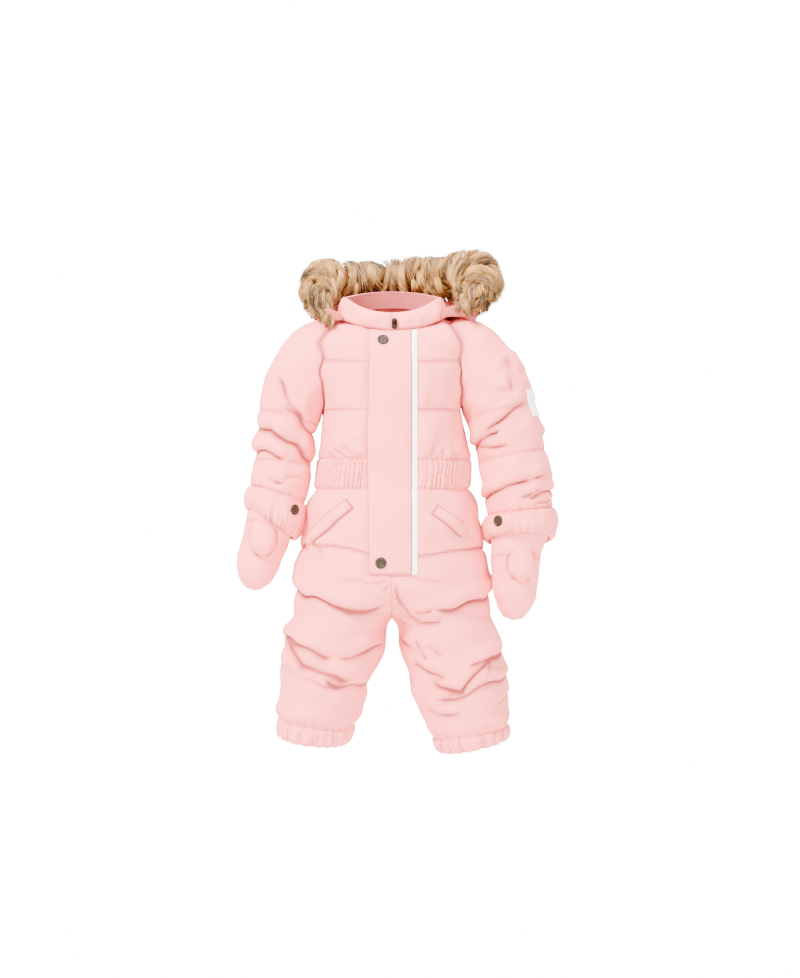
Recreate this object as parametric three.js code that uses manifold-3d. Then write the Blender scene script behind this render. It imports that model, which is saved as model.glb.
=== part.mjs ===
// Padded baby snowsuit, filled out as it is when worn.
// Millimetres. X points to the wearer's left, Y to the back and Z up.
// The origin is the middle of the neck's base, where the shoulders carry the suit.

import * as THREE from 'three';
import { mergeVertices } from 'three/addons/utils/BufferGeometryUtils.js';
import Module from 'manifold-3d';

const wasm = await Module();
wasm.setup();

// Driving sizes
const SEAM_GAP = 0.3;
const CRUMB = 0.02;
const CLOTH = 2.6;
const THUMB_CLOTH = 2;
const COLLAR_CLOTH = 4;
const HOOD_CLOTH = 3;
const TORSO_ROUNDNESS = 0.88;
const LEG_ROUNDNESS = 0.94;

const NECK_DROP = 8;
const WAIST_TOP = 177;
const WAIST_BOTTOM = 215;
const LEVEL_FROM = 112;
const CROTCH_DROP = 384;
const CROTCH_REACH = 12;
const QUILT_DROPS = [NECK_DROP, 17, 50, 112, WAIST_TOP];
const QUILT_RISES = [1, 3.5, 5.5, 6];
const DEEPEST_FOLD = 6;

// Radii that turn a seam's gap into an angle
const TORSO_RADIUS = 95;
const COLLAR_RADIUS = 60;

const PLACKET = {
  left: -30, right: 25.5, top: 10.5, bottom: 327, lift: 1.1, cloth: 2.2, margin: 6, fade: 10,
};
const STRIPE = { left: 26, right: 33, lift: 1.1, cloth: 1.1 };
const WAIST_GATHERS = { count: 56, rise: 1.4, swell: 3 };
const LEG_CUFF_GATHERS = { count: 22, rise: 2.2, swell: 2.5 };
const SLEEVE_CUFF_GATHERS = { count: 18, rise: 2.4, swell: 4 };
const SNAP = { radius: 7.5, height: 2.4, rim: 0.9, bodyLift: 0.45, cuffLift: 0.2 };

const RIGHT = -1;
const LEFT = 1;
const TURN = 2 * Math.PI;
const QUARTER = Math.PI / 2;

// Colours, roughness and metalness
const FINISHES = {
  cloth: { color: 0xf3cfcd, roughness: 0.85, metalness: 0 },
  band: { color: 0xeec6c5, roughness: 0.85, metalness: 0 },
  hood: { color: 0xe0b3b4, roughness: 0.88, metalness: 0 },
  stripe: { color: 0xe6e6ea, roughness: 0.35, metalness: 0 },
  fur: { color: 0xb79a78, roughness: 1, metalness: 0 },
  snap: { color: 0x4d4436, roughness: 0.4, metalness: 0.9 },
  zip: { color: 0x4a3a34, roughness: 0.5, metalness: 0.6 },
  label: { color: 0xf4f2f0, roughness: 0.8, metalness: 0 },
};

// Torso rings: drop is the depth below the neck at the front, sideZ and backZ the ring's heights there
const TORSO = [
  { drop: 8, sideZ: 8, backZ: 24, centre: 0, half: 70, front: 56, back: 60 },
  { drop: 17, sideZ: -2, backZ: 12, centre: 0, half: 94, front: 65, back: 70 },
  { drop: 30, sideZ: -20, backZ: -8, centre: 0, half: 109, front: 73, back: 78 },
  { drop: 50, sideZ: -46, backZ: -40, centre: 0, half: 110, front: 79, back: 83 },
  { drop: 80, sideZ: -79, backZ: -77, centre: 0, half: 99, front: 81, back: 85 },
  { drop: 112, sideZ: -112, backZ: -112, centre: 0, half: 92, front: 81, back: 84 },
  { drop: 145, sideZ: -145, backZ: -145, centre: 2, half: 92, front: 82, back: 84 },
  { drop: 177, sideZ: -177, backZ: -177, centre: 3, half: 99, front: 80, back: 81 },
  { drop: 196, sideZ: -196, backZ: -196, centre: 2, half: 98, front: 79, back: 80 },
  { drop: 215, sideZ: -215, backZ: -215, centre: 0, half: 101, front: 81, back: 82 },
];

// Trouser rings of one side: centre is the leg's distance from the middle of the suit
const HIPS = [
  { drop: 215, centre: 0, half: 101, front: 81, back: 82, y: 0 },
  { drop: 232, centre: 0, half: 109, front: 88, back: 90, y: 0 },
  { drop: 260, centre: 0, half: 114, front: 92, back: 98, y: 0 },
  { drop: 290, centre: 0, half: 119, front: 92, back: 103, y: 0 },
  { drop: 325, centre: 8, half: 116, front: 91, back: 103, y: 0 },
  { drop: 350, centre: 29, half: 98, front: 88, back: 98, y: 0 },
  { drop: 368, centre: 48, half: 79.5, front: 84, back: 92, y: 0 },
  { drop: 378, centre: 59, half: 69.5, front: 81, back: 87, y: 0 },
  { drop: 384, centre: 65, half: 65, front: 79, back: 84, y: 0 },
];
const LEGS = {
  [RIGHT]: [
    ...HIPS,
    { drop: 403, centre: 74, half: 67, front: 76, back: 79, y: 0 },
    { drop: 424, centre: 76, half: 67.5, front: 72, back: 73, y: 0 },
    { drop: 445, centre: 82, half: 65, front: 68, back: 70, y: 0 },
    { drop: 466, centre: 89, half: 59.5, front: 66, back: 67, y: 0 },
    { drop: 487, centre: 91, half: 57.5, front: 62, back: 65, y: 1 },
    { drop: 508, centre: 95, half: 54, front: 58, back: 61, y: 2 },
    { drop: 524, centre: 99, half: 50, front: 53, back: 56, y: 3 },
    { drop: 547, centre: 103.5, half: 46, front: 48, back: 51, y: 4 },
  ],
  [LEFT]: [
    ...HIPS,
    { drop: 403, centre: 74, half: 66, front: 76, back: 79, y: 0 },
    { drop: 424, centre: 77, half: 67.5, front: 73, back: 73, y: 0 },
    { drop: 445, centre: 83, half: 67, front: 70, back: 70, y: 0 },
    { drop: 466, centre: 88.5, half: 65, front: 68, back: 67, y: 0 },
    { drop: 487, centre: 91, half: 62, front: 65, back: 65, y: -1 },
    { drop: 508, centre: 95, half: 58, front: 61, back: 61, y: -2 },
    { drop: 537, centre: 102, half: 50, front: 53, back: 54, y: -3 },
    { drop: 555, centre: 105, half: 45, front: 48, back: 49, y: -4 },
  ],
};
const LEG_CUFF_DROPS = { [RIGHT]: [524, 547], [LEFT]: [537, 555] };

// Sleeve sections along the arm: x is the distance from the middle of the suit
const ARMS = {
  [RIGHT]: [
    { along: 0, x: 58, y: 0, z: -42, across: 46, through: 48 },
    { along: 32, x: 90, y: 0, z: -43, across: 50, through: 51 },
    { along: 48, x: 104, y: -1, z: -53, across: 49, through: 50 },
    { along: 66, x: 115, y: -2, z: -68, across: 46, through: 48 },
    { along: 96, x: 128, y: -4, z: -97, across: 41, through: 45 },
    { along: 128, x: 138.5, y: -7, z: -128, across: 37, through: 42 },
    { along: 160, x: 141, y: -10, z: -160, across: 36, through: 41 },
    { along: 195, x: 145, y: -14, z: -196, across: 36.5, through: 40 },
    { along: 222, x: 150, y: -17, z: -223, across: 36, through: 38 },
    { along: 260, x: 160, y: -20, z: -260, across: 36, through: 37 },
  ],
  [LEFT]: [
    { along: 0, x: 60, y: 0, z: -42, across: 46, through: 48 },
    { along: 32, x: 94, y: 0, z: -43, across: 52, through: 51 },
    { along: 52, x: 111, y: -1, z: -55, across: 50, through: 51 },
    { along: 72, x: 124, y: -2, z: -70, across: 48, through: 50 },
    { along: 102, x: 138, y: -4, z: -99, across: 46.5, through: 48 },
    { along: 136, x: 148, y: -7, z: -132, across: 44, through: 46 },
    { along: 171, x: 157, y: -10, z: -166, across: 43.5, through: 45 },
    { along: 206, x: 163, y: -13, z: -201, across: 44, through: 44 },
    { along: 250, x: 168, y: -16, z: -246, across: 42, through: 42 },
    { along: 282, x: 168, y: -18, z: -278, across: 42, through: 41 },
  ],
};
const SLEEVE_ENDS = { [RIGHT]: 222, [LEFT]: 250 };
const CUFF_ENDS = { [RIGHT]: 259, [LEFT]: 280 };
const SLEEVE_QUILTS = {
  [RIGHT]: [58, 122, 182, 222],
  [LEFT]: [62, 118, 178, 250],
};
const SLEEVE_RISE = 2.5;

// Mittens and thumbs, from the mouth to the last ring before the tip
const MITTENS = {
  [RIGHT]: [
    { along: 0, x: 157.5, y: -20, z: -251, across: 32.6, through: 33.6 },
    { along: 14, x: 161, y: -21, z: -264, across: 32.8, through: 32.5 },
    { along: 30, x: 166, y: -23, z: -281, across: 32, through: 30 },
    { along: 46, x: 171.5, y: -24, z: -297, across: 30, through: 28 },
    { along: 67, x: 177, y: -26, z: -318, across: 28, through: 25 },
    { along: 79, x: 179, y: -27, z: -329, across: 25, through: 22 },
    { along: 89, x: 180.5, y: -27, z: -339, across: 19, through: 17 },
    { along: 98, x: 181, y: -27.5, z: -347, across: 10, through: 9 },
  ],
  [LEFT]: [
    { along: 0, x: 168, y: -17.5, z: -270, across: 38.6, through: 37.9 },
    { along: 14, x: 166, y: -19, z: -283, across: 37, through: 35 },
    { along: 31, x: 163.5, y: -22, z: -298, across: 34.5, through: 31 },
    { along: 52, x: 162.5, y: -24, z: -318, across: 32.5, through: 29 },
    { along: 73, x: 162, y: -26, z: -339, across: 31, through: 27 },
    { along: 95, x: 161.5, y: -27, z: -361, across: 27.5, through: 23 },
    { along: 107, x: 160, y: -28, z: -373, across: 22, through: 18 },
    { along: 119, x: 158.5, y: -28, z: -385, across: 13, through: 10 },
  ],
};
const MITTEN_TIPS = {
  [RIGHT]: new THREE.Vector3(181, -28, -351),
  [LEFT]: new THREE.Vector3(158, -28, -391),
};
const MITTEN_RINGS = {
  [RIGHT]: [0, 14, 30, 46, 58, 67, 79, 89, 98],
  [LEFT]: [0, 14, 31, 52, 73, 85, 95, 107, 119],
};
const THUMB_RINGS = [0, 13, 25, 35];
const THUMBS = {
  [RIGHT]: [
    { along: 0, x: 168, y: -38, z: -266, across: 14, through: 12 },
    { along: 13, x: 168.5, y: -48, z: -277, across: 16, through: 13 },
    { along: 25, x: 169, y: -53, z: -289, across: 15, through: 12 },
    { along: 35, x: 169, y: -55, z: -299, across: 10, through: 8 },
  ],
  [LEFT]: [
    { along: 0, x: 169, y: -38, z: -299, across: 14, through: 12 },
    { along: 13, x: 169, y: -48, z: -310, across: 17, through: 13 },
    { along: 25, x: 169.5, y: -53, z: -322, across: 16, through: 12 },
    { along: 35, x: 170, y: -55, z: -332, across: 10, through: 8 },
  ],
};
const THUMB_TIPS = {
  [RIGHT]: new THREE.Vector3(169, -56, -305),
  [LEFT]: new THREE.Vector3(170, -56, -338),
};

// Collar: heights and radii at the top edge, above the neck ring
const COLLAR_TOP = { frontZ: 15, sideZ: 37, backZ: 46, half: 65, front: 50, back: 51, swell: 2.5 };

// Fur trim along the hood's edge, from the wearer's right front round the back
const FUR = [
  { along: 0, x: -84, y: -22, z: 17, wide: 13, high: 12 },
  { along: 1, x: -94, y: -2, z: 37, wide: 20, high: 25 },
  { along: 2, x: -97, y: 28, z: 50, wide: 21, high: 32 },
  { along: 3, x: -90, y: 68, z: 57, wide: 24, high: 32 },
  { along: 4, x: -60, y: 108, z: 60, wide: 26, high: 30 },
  { along: 5, x: -5, y: 126, z: 62, wide: 27, high: 30 },
  { along: 6, x: 52, y: 112, z: 64, wide: 27, high: 32 },
  { along: 7, x: 96, y: 76, z: 66, wide: 28, high: 34 },
  { along: 8, x: 113, y: 34, z: 64, wide: 31, high: 36 },
  { along: 9, x: 110, y: 4, z: 47, wide: 31, high: 30 },
  { along: 10, x: 97, y: -18, z: 31, wide: 18, high: 16 },
];
const FUR_LOCKS = { waves: 17, fineWaves: 39.1, crossWaves: 3, rise: 0.1 };
const FUR_END = { half: 5, sharpness: 16, least: 0.15 };
const HOOD = {
  from: 0.2,
  to: 9.8,
  neckFront: THREE.MathUtils.degToRad(58),
  innerOut: [10, 22],
  innerDown: [-4, 46],
  outerOut: [10, 24],
  outerDown: [8, 125],
  tuck: 4,
};

// Main creases seen from the front and from behind, each from one end to the other
const FRONT_FOLDS = [
  { x0: -133, z0: -25, x1: -100, z1: -79, deep: 3, wide: 9 },
  { x0: 124, z0: -40, x1: 98, z1: -99, deep: 3, wide: 9 },
  { x0: -153, z0: -66, x1: -115, z1: -132, deep: 3, wide: 8 },
  { x0: -174, z0: -131, x1: -141, z1: -148, deep: 4, wide: 8 },
  { x0: -141, z0: -148, x1: -112, z1: -181, deep: 4, wide: 8 },
  { x0: -161, z0: -202, x1: -128, z1: -205, deep: 2.5, wide: 7 },
  { x0: 158, z0: -37, x1: 158, z1: -83, deep: 2.5, wide: 8 },
  { x0: 131, z0: -137, x1: 160, z1: -108, deep: 3, wide: 8 },
  { x0: 116, z0: -160, x1: 156, z1: -158, deep: 3, wide: 8 },
  { x0: 132, z0: -224, x1: 182, z1: -199, deep: 3.5, wide: 8 },
  { x0: 168, z0: -228, x1: 206, z1: -216, deep: 3, wide: 7 },
  { x0: -77, z0: -152, x1: -61, z1: -176, deep: 2.5, wide: 7 },
  { x0: -53, z0: -155, x1: -44, z1: -176, deep: 2.5, wide: 7 },
  { x0: 54, z0: -145, x1: 48, z1: -176, deep: 2.5, wide: 7 },
  { x0: 79, z0: -156, x1: 74, z1: -176, deep: 2.5, wide: 7 },
  { x0: 13, z0: -328, x1: 63, z1: -338, deep: 2.5, wide: 8 },
  { x0: -69, z0: -343, x1: -24, z1: -341, deep: 2.5, wide: 8 },
  { x0: -125, z0: -350, x1: -78, z1: -371, deep: 5, wide: 9 },
  { x0: -78, z0: -371, x1: -9, z1: -372, deep: 5, wide: 9 },
  { x0: 42, z0: -380, x1: 96, z1: -368, deep: 5, wide: 9 },
  { x0: 96, z0: -368, x1: 125, z1: -350, deep: 4.5, wide: 9 },
  { x0: -137, z0: -419, x1: -79, z1: -446, deep: 4, wide: 9 },
  { x0: -75, z0: -446, x1: -12, z1: -422, deep: 4, wide: 9 },
  { x0: -120, z0: -450, x1: -34, z1: -474, deep: 3.5, wide: 8 },
  { x0: 30, z0: -416, x1: 46, z1: -445, deep: 3, wide: 8 },
  { x0: 34, z0: -453, x1: 77, z1: -480, deep: 3.5, wide: 8 },
  { x0: 77, z0: -480, x1: 129, z1: -443, deep: 4, wide: 8 },
  { x0: 53, z0: -502, x1: 150, z1: -469, deep: 3.5, wide: 8 },
];
const BACK_FOLDS = [
  { x0: -66, z0: -58, x1: -95, z1: -110, deep: 3, wide: 10 },
  { x0: 66, z0: -62, x1: 94, z1: -112, deep: 3, wide: 10 },
  { x0: -60, z0: -148, x1: -42, z1: -176, deep: 2.5, wide: 8 },
  { x0: 34, z0: -150, x1: 26, z1: -176, deep: 2.5, wide: 8 },
  { x0: 70, z0: -152, x1: 60, z1: -176, deep: 2.5, wide: 8 },
  { x0: -118, z0: -348, x1: -14, z1: -374, deep: 5, wide: 10 },
  { x0: 116, z0: -352, x1: 14, z1: -372, deep: 5, wide: 10 },
  { x0: -138, z0: -428, x1: -22, z1: -438, deep: 4, wide: 9 },
  { x0: 140, z0: -430, x1: 24, z1: -446, deep: 4, wide: 9 },
  { x0: -128, z0: -458, x1: -36, z1: -464, deep: 3, wide: 9 },
  { x0: 142, z0: -462, x1: 40, z1: -474, deep: 3, wide: 9 },
  { x0: -172, z0: -138, x1: -112, z1: -158, deep: 3.5, wide: 9 },
  { x0: 196, z0: -146, x1: 118, z1: -166, deep: 3.5, wide: 9 },
  { x0: -176, z0: -192, x1: -116, z1: -206, deep: 3, wide: 8 },
  { x0: 204, z0: -206, x1: 128, z1: -220, deep: 3, wide: 8 },
];

// Pocket welts: the two ends of the middle line, in the front view
const WELTS = {
  [RIGHT]: { x0: -105, z0: -279, x1: -54, z1: -234 },
  [LEFT]: { x0: 55, z0: -242, x1: 93, z1: -273 },
};
const WELT = { width: 16, lift: 1, rise: 3.4 };
const LABEL = { from: 105, to: 138, forward: -54, outer: -79, lift: 1.2, cloth: 0.9 };
const BODY_SNAPS = [
  { name: 'snap_top', x: -11.5, drop: 23 },
  { name: 'snap_bottom', x: -14, drop: 312 },
];
const CUFF_SNAPS = {
  [RIGHT]: { name: 'snap_cuff_right', along: 238, bearing: 40 },
  [LEFT]: { name: 'snap_cuff_left', along: 264, bearing: 38 },
};
const ZIP = { x: 3.3, height: 3, standOff: 5.9, lean: 15, bodyWidth: 7.4, bodyHigh: 9, bodyThick: 3.1 };
const EYE = { outer: 3, inner: 1.7, width: 2.4 };
const TAB = { width: 8, length: 12, thick: 1.3, bar: 0.7, windowWidth: 4.2, windowLength: 5 };

// Number helpers
function power(value, exponent) {
  return Math.sign(value) * Math.abs(value) ** exponent;
}

function smooth(from, to, value) {
  return THREE.MathUtils.smoothstep(value, from, to);
}

function spread(from, to, count) {
  return Array.from({ length: count + 1 }, (_, i) => from + ((to - from) * i) / count);
}

function around(count) {
  return spread(0, 1, count).slice(0, -1);
}

function everySecond(list) {
  return list.filter((_, i) => i % 2 === 0 || i === list.length - 1);
}

// A smooth curve through the rows of a table, read at any value of its key column
function curveThrough(table, key) {
  const columns = Object.keys(table[0]).filter((column) => column !== key);
  const last = table.length - 1;
  const slope = (i, column) => {
    const before = table[Math.max(i - 1, 0)];
    const after = table[Math.min(i + 1, last)];
    return (after[column] - before[column]) / (after[key] - before[key]);
  };
  return (value) => {
    const next = table.findIndex((row) => row[key] > value);
    const i = next < 0 ? last - 1 : Math.max(next - 1, 0);
    const span = table[i + 1][key] - table[i][key];
    const t = (value - table[i][key]) / span;
    const result = {};
    for (const column of columns) {
      const a = table[i][column];
      const b = table[i + 1][column];
      const startSlope = slope(i, column) * span;
      const endSlope = slope(i + 1, column) * span;
      result[column] = (2 * t ** 3 - 3 * t ** 2 + 1) * a + (t ** 3 - 2 * t ** 2 + t) * startSlope
        + (3 * t ** 2 - 2 * t ** 3) * b + (t ** 3 - t ** 2) * endSlope;
    }
    return result;
  };
}

const torsoRing = curveThrough(TORSO, 'drop');
const legRing = { [RIGHT]: curveThrough(LEGS[RIGHT], 'drop'), [LEFT]: curveThrough(LEGS[LEFT], 'drop') };

// Mesh helpers
function finish(positions, faces) {
  const geometry = new THREE.BufferGeometry();
  let volume = 0;
  const corner = [new THREE.Vector3(), new THREE.Vector3(), new THREE.Vector3()];
  for (let f = 0; f < faces.length; f += 3) {
    corner.forEach((point, k) => point.fromArray(positions, 3 * faces[f + k]));
    volume += corner[0].dot(corner[1].clone().cross(corner[2]));
  }
  geometry.setAttribute('position', new THREE.BufferAttribute(new Float32Array(positions), 3));
  geometry.setIndex(volume < 0 ? faces.slice().reverse() : faces);
  return geometry;
}

function addPoint(positions, point) {
  positions.push(point.x, point.y, point.z);
  return positions.length / 3 - 1;
}

function addGrid(positions, surface, us, vs) {
  return vs.map((v) => us.map((u) => addPoint(positions, surface(u, v))));
}

function addSkin(faces, rows, wraps, inside) {
  const columns = rows[0].length;
  for (let j = 0; j < rows.length - 1; j += 1) {
    for (let i = 0; i < (wraps ? columns : columns - 1); i += 1) {
      const next = (i + 1) % columns;
      const a = rows[j][i];
      const b = rows[j][next];
      const c = rows[j + 1][next];
      const d = rows[j + 1][i];
      faces.push(...(inside ? [a, c, b, a, d, c] : [a, b, c, a, c, d]));
    }
  }
}

function addRim(faces, outer, outerMarks, inner, innerMarks) {
  let i = 0;
  let j = 0;
  while (i < outer.length - 1 || j < inner.length - 1) {
    const outerNext = i < outer.length - 1
      && (j === inner.length - 1 || outerMarks[i + 1] <= innerMarks[j + 1]);
    if (outerNext) {
      faces.push(outer[i], inner[j], outer[i + 1]);
      i += 1;
    } else {
      faces.push(outer[i], inner[j], inner[j + 1]);
      j += 1;
    }
  }
}

function addFan(faces, row, centre, inside) {
  row.forEach((point, i) => {
    const next = row[(i + 1) % row.length];
    faces.push(...(inside ? [next, point, centre] : [point, next, centre]));
  });
}

// A cloth wall between an outer surface with all its folds and a plain, coarser inner one
function wall({
  outer, inner, us, vs, innerVs = everySecond(vs), wraps = false, outerTip = null, innerTip = null,
}) {
  const positions = [];
  const faces = [];
  const innerUs = wraps ? us.filter((_, i) => i % 2 === 0) : everySecond(us);
  const outerRows = addGrid(positions, outer, us, vs);
  const innerRows = addGrid(positions, inner, innerUs, innerVs);
  addSkin(faces, outerRows, wraps, false);
  addSkin(faces, innerRows, wraps, true);
  const closeRow = (row) => (wraps ? [...row, row[0]] : row);
  const closeMarks = (marks) => (wraps ? [...marks, 1] : marks);
  const flipped = (marks) => marks.map((mark) => -mark).reverse();
  const outerMarks = closeMarks(us);
  const innerMarks = closeMarks(innerUs);
  addRim(faces, closeRow(outerRows[0]), outerMarks, closeRow(innerRows[0]), innerMarks);
  const lastOuter = outerRows[outerRows.length - 1];
  const lastInner = innerRows[innerRows.length - 1];
  if (outerTip) {
    addFan(faces, lastOuter, addPoint(positions, outerTip), false);
    addFan(faces, lastInner, addPoint(positions, innerTip), true);
  } else {
    addRim(faces, closeRow(lastOuter).slice().reverse(), flipped(outerMarks),
      closeRow(lastInner).slice().reverse(), flipped(innerMarks));
  }
  if (!wraps) {
    const first = (rows) => rows.map((row) => row[0]);
    const end = (rows) => rows.map((row) => row[row.length - 1]);
    addRim(faces, first(outerRows).reverse(), flipped(vs), first(innerRows).reverse(), flipped(innerVs));
    addRim(faces, end(outerRows), vs, end(innerRows), innerVs);
  }
  return finish(positions, faces);
}

// A closed solid inside a tube of rings
function filled(surface, us, vs) {
  const positions = [];
  const faces = [];
  const rows = addGrid(positions, surface, us, vs);
  const middle = (row) => row.reduce(
    (sum, index) => sum.add(new THREE.Vector3().fromArray(positions, 3 * index)),
    new THREE.Vector3(),
  ).divideScalar(row.length);
  addSkin(faces, rows, true, false);
  addFan(faces, rows[0], addPoint(positions, middle(rows[0])), true);
  const last = rows[rows.length - 1];
  addFan(faces, last, addPoint(positions, middle(last)), false);
  return finish(positions, faces);
}

function toSolid(geometry) {
  const plain = geometry.clone();
  plain.deleteAttribute('normal');
  plain.deleteAttribute('uv');
  const merged = mergeVertices(plain, 1e-4);
  return new wasm.Manifold(new wasm.Mesh({
    numProp: 3,
    vertProperties: Float32Array.from(merged.attributes.position.array),
    triVerts: Uint32Array.from(merged.index.array),
  }));
}

function toGeometry(solid) {
  const mesh = solid.getMesh();
  const geometry = new THREE.BufferGeometry();
  geometry.setAttribute('position', new THREE.BufferAttribute(Float32Array.from(mesh.vertProperties), 3));
  geometry.setIndex(Array.from(mesh.triVerts));
  return geometry;
}

// What is left of a piece outside its neighbours, without crumbs
function trimmed(geometry, neighbours) {
  const cut = neighbours.reduce((solid, other) => solid.subtract(other), toSolid(geometry));
  const pieces = cut.simplify(CRUMB).decompose();
  pieces.sort((a, b) => b.volume() - a.volume());
  return toGeometry(pieces[0]);
}

// Creases: how far the surface is pressed in near a line of the front or the back view
function foldDepth(point, frontness) {
  const views = [
    { folds: FRONT_FOLDS, share: smooth(0, 0.5, frontness) },
    { folds: BACK_FOLDS, share: smooth(0, 0.5, -frontness) },
  ];
  let depth = 0;
  for (const { folds, share } of views) {
    if (share === 0) continue;
    for (const fold of folds) {
      const dx = fold.x1 - fold.x0;
      const dz = fold.z1 - fold.z0;
      const t = ((point.x - fold.x0) * dx + (point.z - fold.z0) * dz) / (dx * dx + dz * dz);
      const near = THREE.MathUtils.clamp(t, 0, 1);
      const away = Math.hypot(point.x - fold.x0 - near * dx, point.z - fold.z0 - near * dz);
      depth += share * fold.deep * Math.exp(-((away / fold.wide) ** 2));
    }
  }
  return Math.min(depth, DEEPEST_FOLD);
}

function padding(value, lines, rises) {
  const i = lines.findIndex((line, k) => value >= line && value <= lines[k + 1]);
  if (i < 0) return 0;
  const t = (value - lines[i]) / (lines[i + 1] - lines[i]);
  return rises[i] * Math.sin(Math.PI * t) ** 0.6;
}

function frontBand(x, front) {
  if (!front) return 1;
  const outside = Math.max(PLACKET.left - x, x - STRIPE.right, 0);
  return smooth(PLACKET.margin, PLACKET.margin + PLACKET.fade, outside);
}

// Normal of a surface given by two running values
function normalOf(surface, u, v, stepU, stepV) {
  const alongU = surface(u + stepU, v).sub(surface(u - stepU, v));
  const alongV = surface(u, v + stepV).sub(surface(u, v - stepV));
  return alongU.cross(alongV).normalize();
}

// Torso surface: bearing 0 is the middle of the front, a quarter turn the wearer's left
function torsoBase(bearing, drop) {
  const ring = torsoRing(drop);
  const c = Math.cos(bearing);
  const frontShare = Math.max(c, 0) ** 2;
  const backShare = Math.max(-c, 0) ** 2;
  const height = ring.sideZ + (-drop - ring.sideZ) * frontShare + (ring.backZ - ring.sideZ) * backShare;
  const depth = c > 0 ? ring.front : ring.back;
  return new THREE.Vector3(
    ring.centre + ring.half * power(Math.sin(bearing), TORSO_ROUNDNESS),
    -depth * power(c, TORSO_ROUNDNESS),
    height,
  );
}

function torsoNormal(bearing, drop) {
  const normal = normalOf(torsoBase, bearing, drop, 0.02, 1);
  normal.z *= 1 - smooth(LEVEL_FROM - 40, LEVEL_FROM, drop);
  normal.normalize();
  const outward = Math.sin(bearing) * normal.x - Math.cos(bearing) * normal.y;
  return outward < 0 ? normal.negate() : normal;
}

function torsoRelief(bearing, drop, base) {
  const sides = 1 - 0.7 * Math.sin(bearing) ** 4;
  const quilts = padding(drop, QUILT_DROPS, QUILT_RISES) * sides;
  const band = frontBand(base.x, Math.cos(bearing) > 0);
  const seam = smooth(0, 6, drop - NECK_DROP) * smooth(0, 6, WAIST_TOP - drop);
  return band * (quilts - seam * foldDepth(base, Math.cos(bearing)));
}

function torsoOuter(bearing, drop, lift = 0) {
  const base = torsoBase(bearing, drop);
  const rise = torsoRelief(bearing, drop, base) + lift;
  return base.addScaledVector(torsoNormal(bearing, drop), rise);
}

function torsoInner(bearing, drop) {
  return torsoBase(bearing, drop).addScaledVector(torsoNormal(bearing, drop), -CLOTH);
}

// Waistband surface, gathered on its elastic
function waistOuter(bearing, drop, lift = 0) {
  const base = torsoBase(bearing, drop);
  const t = (drop - WAIST_TOP) / (WAIST_BOTTOM - WAIST_TOP);
  const swell = WAIST_GATHERS.swell * Math.sin(Math.PI * THREE.MathUtils.clamp(t, 0, 1)) ** 0.7;
  const gathers = WAIST_GATHERS.rise * Math.cos(WAIST_GATHERS.count * bearing);
  const rise = frontBand(base.x, Math.cos(bearing) > 0) * (swell + gathers) + lift;
  return base.addScaledVector(torsoNormal(bearing, drop), rise);
}

// Trouser surface of one side: bearing 0 is the front of the leg, a quarter turn its outer side
function trouserBase(side, bearing, drop) {
  const ring = legRing[side](drop);
  const depth = Math.cos(bearing) > 0 ? ring.front : ring.back;
  return new THREE.Vector3(
    side * (ring.centre + ring.half * power(Math.sin(bearing), LEG_ROUNDNESS)),
    ring.y - depth * power(Math.cos(bearing), LEG_ROUNDNESS),
    -drop,
  );
}

function trouserNormal(side, bearing, drop) {
  const ring = legRing[side](drop);
  const depth = Math.cos(bearing) > 0 ? ring.front : ring.back;
  return new THREE.Vector3(
    side * Math.sin(bearing) / ring.half,
    -Math.cos(bearing) / depth,
    0,
  ).normalize();
}

function trouserRelief(side, bearing, drop, base) {
  const frontness = Math.cos(bearing);
  const middle = smooth(0, 12, Math.abs(base.x)) + smooth(CROTCH_DROP, CROTCH_DROP + 16, drop);
  const ends = smooth(0, 8, drop - WAIST_BOTTOM) * smooth(0, 8, LEG_CUFF_DROPS[side][0] - drop);
  const flatEnd = PLACKET.bottom + PLACKET.margin;
  const below = smooth(flatEnd, flatEnd + PLACKET.fade, drop);
  const placketBand = Math.max(below, frontBand(base.x, frontness > 0));
  const inseam = smooth(-1, -0.8, Math.sin(bearing));
  const fullness = 2 * Math.sin(Math.PI * THREE.MathUtils.clamp((drop - WAIST_BOTTOM) / 90, 0, 1));
  return placketBand * (ends * (fullness - foldDepth(base, frontness) * Math.min(middle, 1) * inseam));
}

function trouserOuter(side, bearing, drop, lift = 0) {
  const base = trouserBase(side, bearing, drop);
  const rise = trouserRelief(side, bearing, drop, base) + lift;
  const point = base.clone().addScaledVector(trouserNormal(side, bearing, drop), rise);
  if (drop < CROTCH_DROP) point.x = side * Math.max(side * point.x, SEAM_GAP / 2);
  return point;
}

function trouserInner(side, bearing, drop) {
  const point = trouserBase(side, bearing, drop)
    .addScaledVector(trouserNormal(side, bearing, drop), -CLOTH);
  if (drop < CROTCH_DROP) point.x = side * Math.max(side * point.x, SEAM_GAP / 2);
  return point;
}

// The inner end of a trouser panel: the middle seam above the crotch, the inseam below it
function innerBearing(side, drop, inset) {
  const ring = legRing[side](drop);
  const half = ring.half - inset;
  const reach = Math.min(Math.max(ring.centre - SEAM_GAP / 2, -SEAM_GAP / 2) / half, 1);
  const clip = -Math.asin(power(reach, 1 / LEG_ROUNDNESS));
  const inseam = -(QUARTER - inseamTurn(ring));
  return Math.max(clip, inseam);
}

function inseamTurn(ring) {
  return (SEAM_GAP / 2 / ring.front) ** (1 / LEG_ROUNDNESS);
}

// Bearing of a point of the front at a given distance from the middle
function torsoBearing(x, drop) {
  const ring = torsoRing(drop);
  return Math.asin(power((x - ring.centre) / ring.half, 1 / TORSO_ROUNDNESS));
}

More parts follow.
